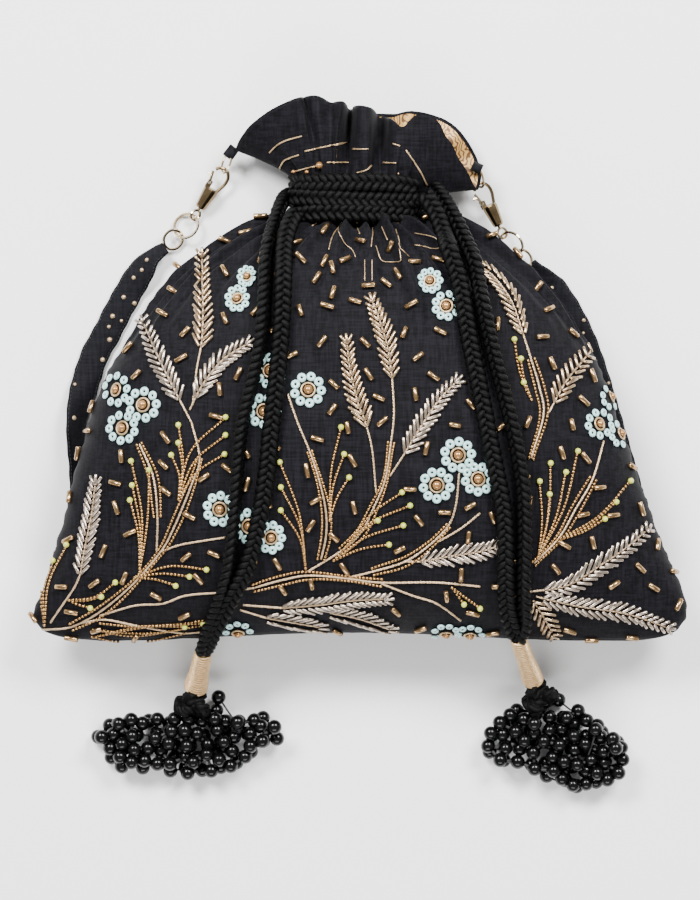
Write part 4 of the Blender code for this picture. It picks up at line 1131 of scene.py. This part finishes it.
NECK_LOOPS = (
    ((-8.2, 62.6), (-9.5, 60.0), (-6.9, 54.0), (-3.4, 51.0), (-1.9, 47.9)),
    ((-1.5, 61.5), (0.0, 57.8)),
    ((5.6, 60.8), (4.7, 52.4)),
    ((6.7, 52.8), (9.0, 46.7), (12.9, 45.8), (17.4, 46.2), (17.6, 47.9), (17.0, 51.6)),
    ((9.5, 61.1), (12.0, 55.3)),
    ((15.5, 60.0), (16.6, 55.3), (17.6, 51.6), (21.1, 47.9)),
    ((23.6, 58.3), (31.8, 56.5), (34.8, 52.8), (31.8, 51.6), (23.6, 53.2)),
    ((2.1, 46.7), (2.1, 37.6)),
    ((5.2, 46.7), (5.2, 37.6)),
    ((-8.2, 62.6), (-11.6, 57.0), (-13.3, 51.0)),
    ((-20.6, 61.3), (-18.1, 63.0)),
)
# x, y, heading in degrees
PLACED_BUGLES = (
    (-14.6, 45.8, 90),
    (17.0, 40.9, -40),
    (3.9, 35.5, 0),
    (-21.5, 64.7, 20),
    (-30.5, 64.3, 10),
    (-27.9, 54.0, 25),
    (-12.0, 32.5, 70),
    (-49.4, 58.7, 15),
    (-12.0, 43.2, 100),
)
FRILL_STITCHES = (
    ((-38.9, 92.9), (-35.5, 96.2), (-31.2, 98.3), (-24.9, 100.0)),
    ((-23.6, 93.5), (-15.9, 95.2), (-6.2, 97.2)),
    ((-3.0, 94.4), (3.4, 94.4)),
    ((-34.5, 86.2), (-32.2, 89.7), (-26.2, 91.9)),
    ((-14.4, 88.6), (-4.7, 88.6)),
    ((-1.4, 84.2), (2.4, 85.2), (4.7, 87.5)),
    ((19.8, 94.0), (22.4, 90.1), (25.8, 84.9), (28.8, 78.9)),
    ((16.2, 84.2), (18.5, 80.2), (20.6, 77.2)),
    ((14.4, 96.7), (17.2, 95.7)),
    ((10.1, 88.5), (15.5, 88.4)),
    ((-28.4, 84.7), (-22.8, 86.2), (-16.8, 87.5)),
)


def embroider(tree):
    """All the placed motifs of the front."""
    for points in STEMS:
        stem(tree, points)
    for points, bare, gilded in FRONDS:
        frond(tree, points, bare=bare, batch=Work.gilt if gilded else Work.silver)
    for points in BEADED_STEMS:
        for aside in (-1.5, 1.5):
            beaded_line(tree, points, aside)
    for x, y, wide, tall in FLOWERS:
        flower(tree, x, y, wide, tall, RNG.uniform(0, 1))
    for base, tips in SEED_STRINGS:
        for tip, bend in tips:
            seed_string(tree, base, tip, bend)
    for points in NECK_LOOPS:
        stitch_line(tree, points, 0.26)
        take(smooth_route(points, 4.0), 3.0)
    for x, y, heading in PLACED_BUGLES:
        found = onto(tree, x, y)
        if found:
            bugle(Work.bronze, found[0] + found[1] * 1.1, found[1], math.radians(heading), 6.0, 1.15)
            take([(x, y)], 6.0)


# x, y, radius
FRILL_BEADS = ((-16.8, 87.5, 1.7), (-28.4, 84.7, 1.0), (-22.5, 84.7, 1.0), (9.6, 79.8, 1.3), (6.3, 82.8, 1.0))


def frill_beads(tree):
    """The few beads at the frill's foot."""
    for x, y, size in FRILL_BEADS:
        found = onto(tree, x, y)
        if found:
            ball(Work.centres, found[0] + found[1] * size * 0.8, size, found[1], 10, 6)


def scatter(tree):
    """Single bronze bugles at all angles, spread over the cloth between the motifs."""
    placed, tries = [], 0
    while len(placed) < 420 and tries < 14000:
        tries += 1
        x, y = RNG.uniform(-140, 141), RNG.uniform(-116, 66)
        if any((x - a) ** 2 + (y - b) ** 2 < r * r for a, b, r in TAKEN):
            continue
        if any((x - a) ** 2 + (y - b) ** 2 < 10.2**2 for a, b in placed):
            continue
        found = onto(tree, x, y)
        if not found or found[0][2] < 12:
            continue
        placed.append((x, y))
        heading = RNG.uniform(0, math.pi)
        bugle(Work.bronze, found[0] + found[1] * 1.1, found[1], heading, RNG.uniform(5.2, 6.4), 1.15)


def finish_embroidery():
    """Makes each batch of beads or thread into one piece."""
    for batch, material in (
        (Work.silver, SILVER_BUGLE), (Work.gilt, GILT_BUGLE), (Work.bronze, BRONZE_BUGLE),
        (Work.stems, STEM_GOLD),
        (Work.stitches, STITCH_GOLD), (Work.mint, MINT), (Work.seeds, SEED), (Work.tips, TIP),
        (Work.centres, CENTRE),
    ):
        batch.made(material)


# ---------------------------------------------------------------- stage
def softbox(name, place, size, power):
    """A rectangular soft light, in metres and watts, aimed at the bag."""
    light = bpy.data.lights.new(name, "AREA")
    light.shape, light.size, light.size_y, light.energy = "RECTANGLE", size[0], size[1], power
    lamp = bpy.data.objects.new(name, light)
    lamp.location = place
    aim = Vector((-0.004, -0.03, 0.02)) - Vector(place)
    lamp.rotation_euler = aim.to_track_quat("-Z", "Y").to_euler()
    bpy.context.scene.collection.objects.link(lamp)
    return lamp


FLOOR_REACH = 3.0
FLOOR_DROP = -0.0004


def stage():
    """Pale floor, soft studio light, and the camera above the bag."""
    mesh = bpy.data.meshes.new("floor")
    corners = ((-1, -1), (1, -1), (1, 1), (-1, 1))
    points = [(x * FLOOR_REACH, y * FLOOR_REACH, FLOOR_DROP) for x, y in corners]
    mesh.from_pydata(points, [], [(0, 1, 2, 3)])
    mesh.materials.append(FLOOR)
    floor = bpy.data.objects.new("floor", mesh)
    bpy.context.scene.collection.objects.link(floor)
    lamps = [
        softbox("key", (-0.62, 0.78, 1.15), (0.6, 0.4), 46),
        softbox("fill", (0.62, 0.78, 1.15), (0.6, 0.4), 42),
        softbox("low", (0.0, -1.1, 0.9), (1.2, 0.4), 16),
    ]
    world = bpy.data.worlds.new("studio")
    world.use_nodes = True
    world.node_tree.nodes["Background"].inputs["Color"].default_value = (1, 1, 1, 1)
    world.node_tree.nodes["Background"].inputs["Strength"].default_value = 0.55
    bpy.context.scene.world = world
    lens = bpy.data.cameras.new("camera")
    lens.sensor_fit = "HORIZONTAL"
    lens.sensor_width = 36.0
    lens.lens = 36.0 * 1.6 / 0.301
    lens.clip_end = 20
    eye = bpy.data.objects.new("camera", lens)
    eye.location = EYE * MM
    bpy.context.scene.collection.objects.link(eye)
    bpy.context.scene.camera = eye


pouch_piece = pouch()
frill_piece = frill()
cloth_tree = tree_of(pouch_piece)
frill_tree = tree_of(frill_piece)
neck_turns("left", LEFT_TURNS)
neck_turns("right", RIGHT_TURNS)
for side, wrap, widths, centre in (
    ("left", LEFT_WRAP, (3.1, 4.7), LEFT_KNOT),
    ("right", RIGHT_WRAP, (2.9, 4.1), RIGHT_KNOT),
):
    thread_wrap(side, wrap, widths)
    knot(side, centre, wrap)
bead_strands()
for side, inner, outer, wrap in (
    ("left", LEFT_INNER, LEFT_OUTER, LEFT_WRAP),
    ("right", RIGHT_INNER, RIGHT_OUTER, RIGHT_WRAP),
):
    pieces = [f"wound_thread_{side}", f"knot_{side}", f"heap_{side}_beads", f"heap_{side}_thread"]
    strands = [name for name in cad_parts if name.startswith(f"bead_strand_{side}")]
    pieces += [name + "_beads" for name in strands] + [name + "_thread" for name in strands]
    free_cord(f"cord_{side}_inner", inner, cloth_tree, "last", wrap[0])
    free_cord(f"cord_{side}_outer", outer, cloth_tree, "first", wrap[0])
strap()
frill_tab("left", (-54.4, 96.2, 10.6))
frill_tab("right", (51.4, 89.0, 12.6))
paint_metal()
embroider(cloth_tree)
for points in FRILL_STITCHES:
    stitch_line(frill_tree, points, 0.42)
frill_beads(frill_tree)
scatter(cloth_tree)
finish_embroidery()
stage()
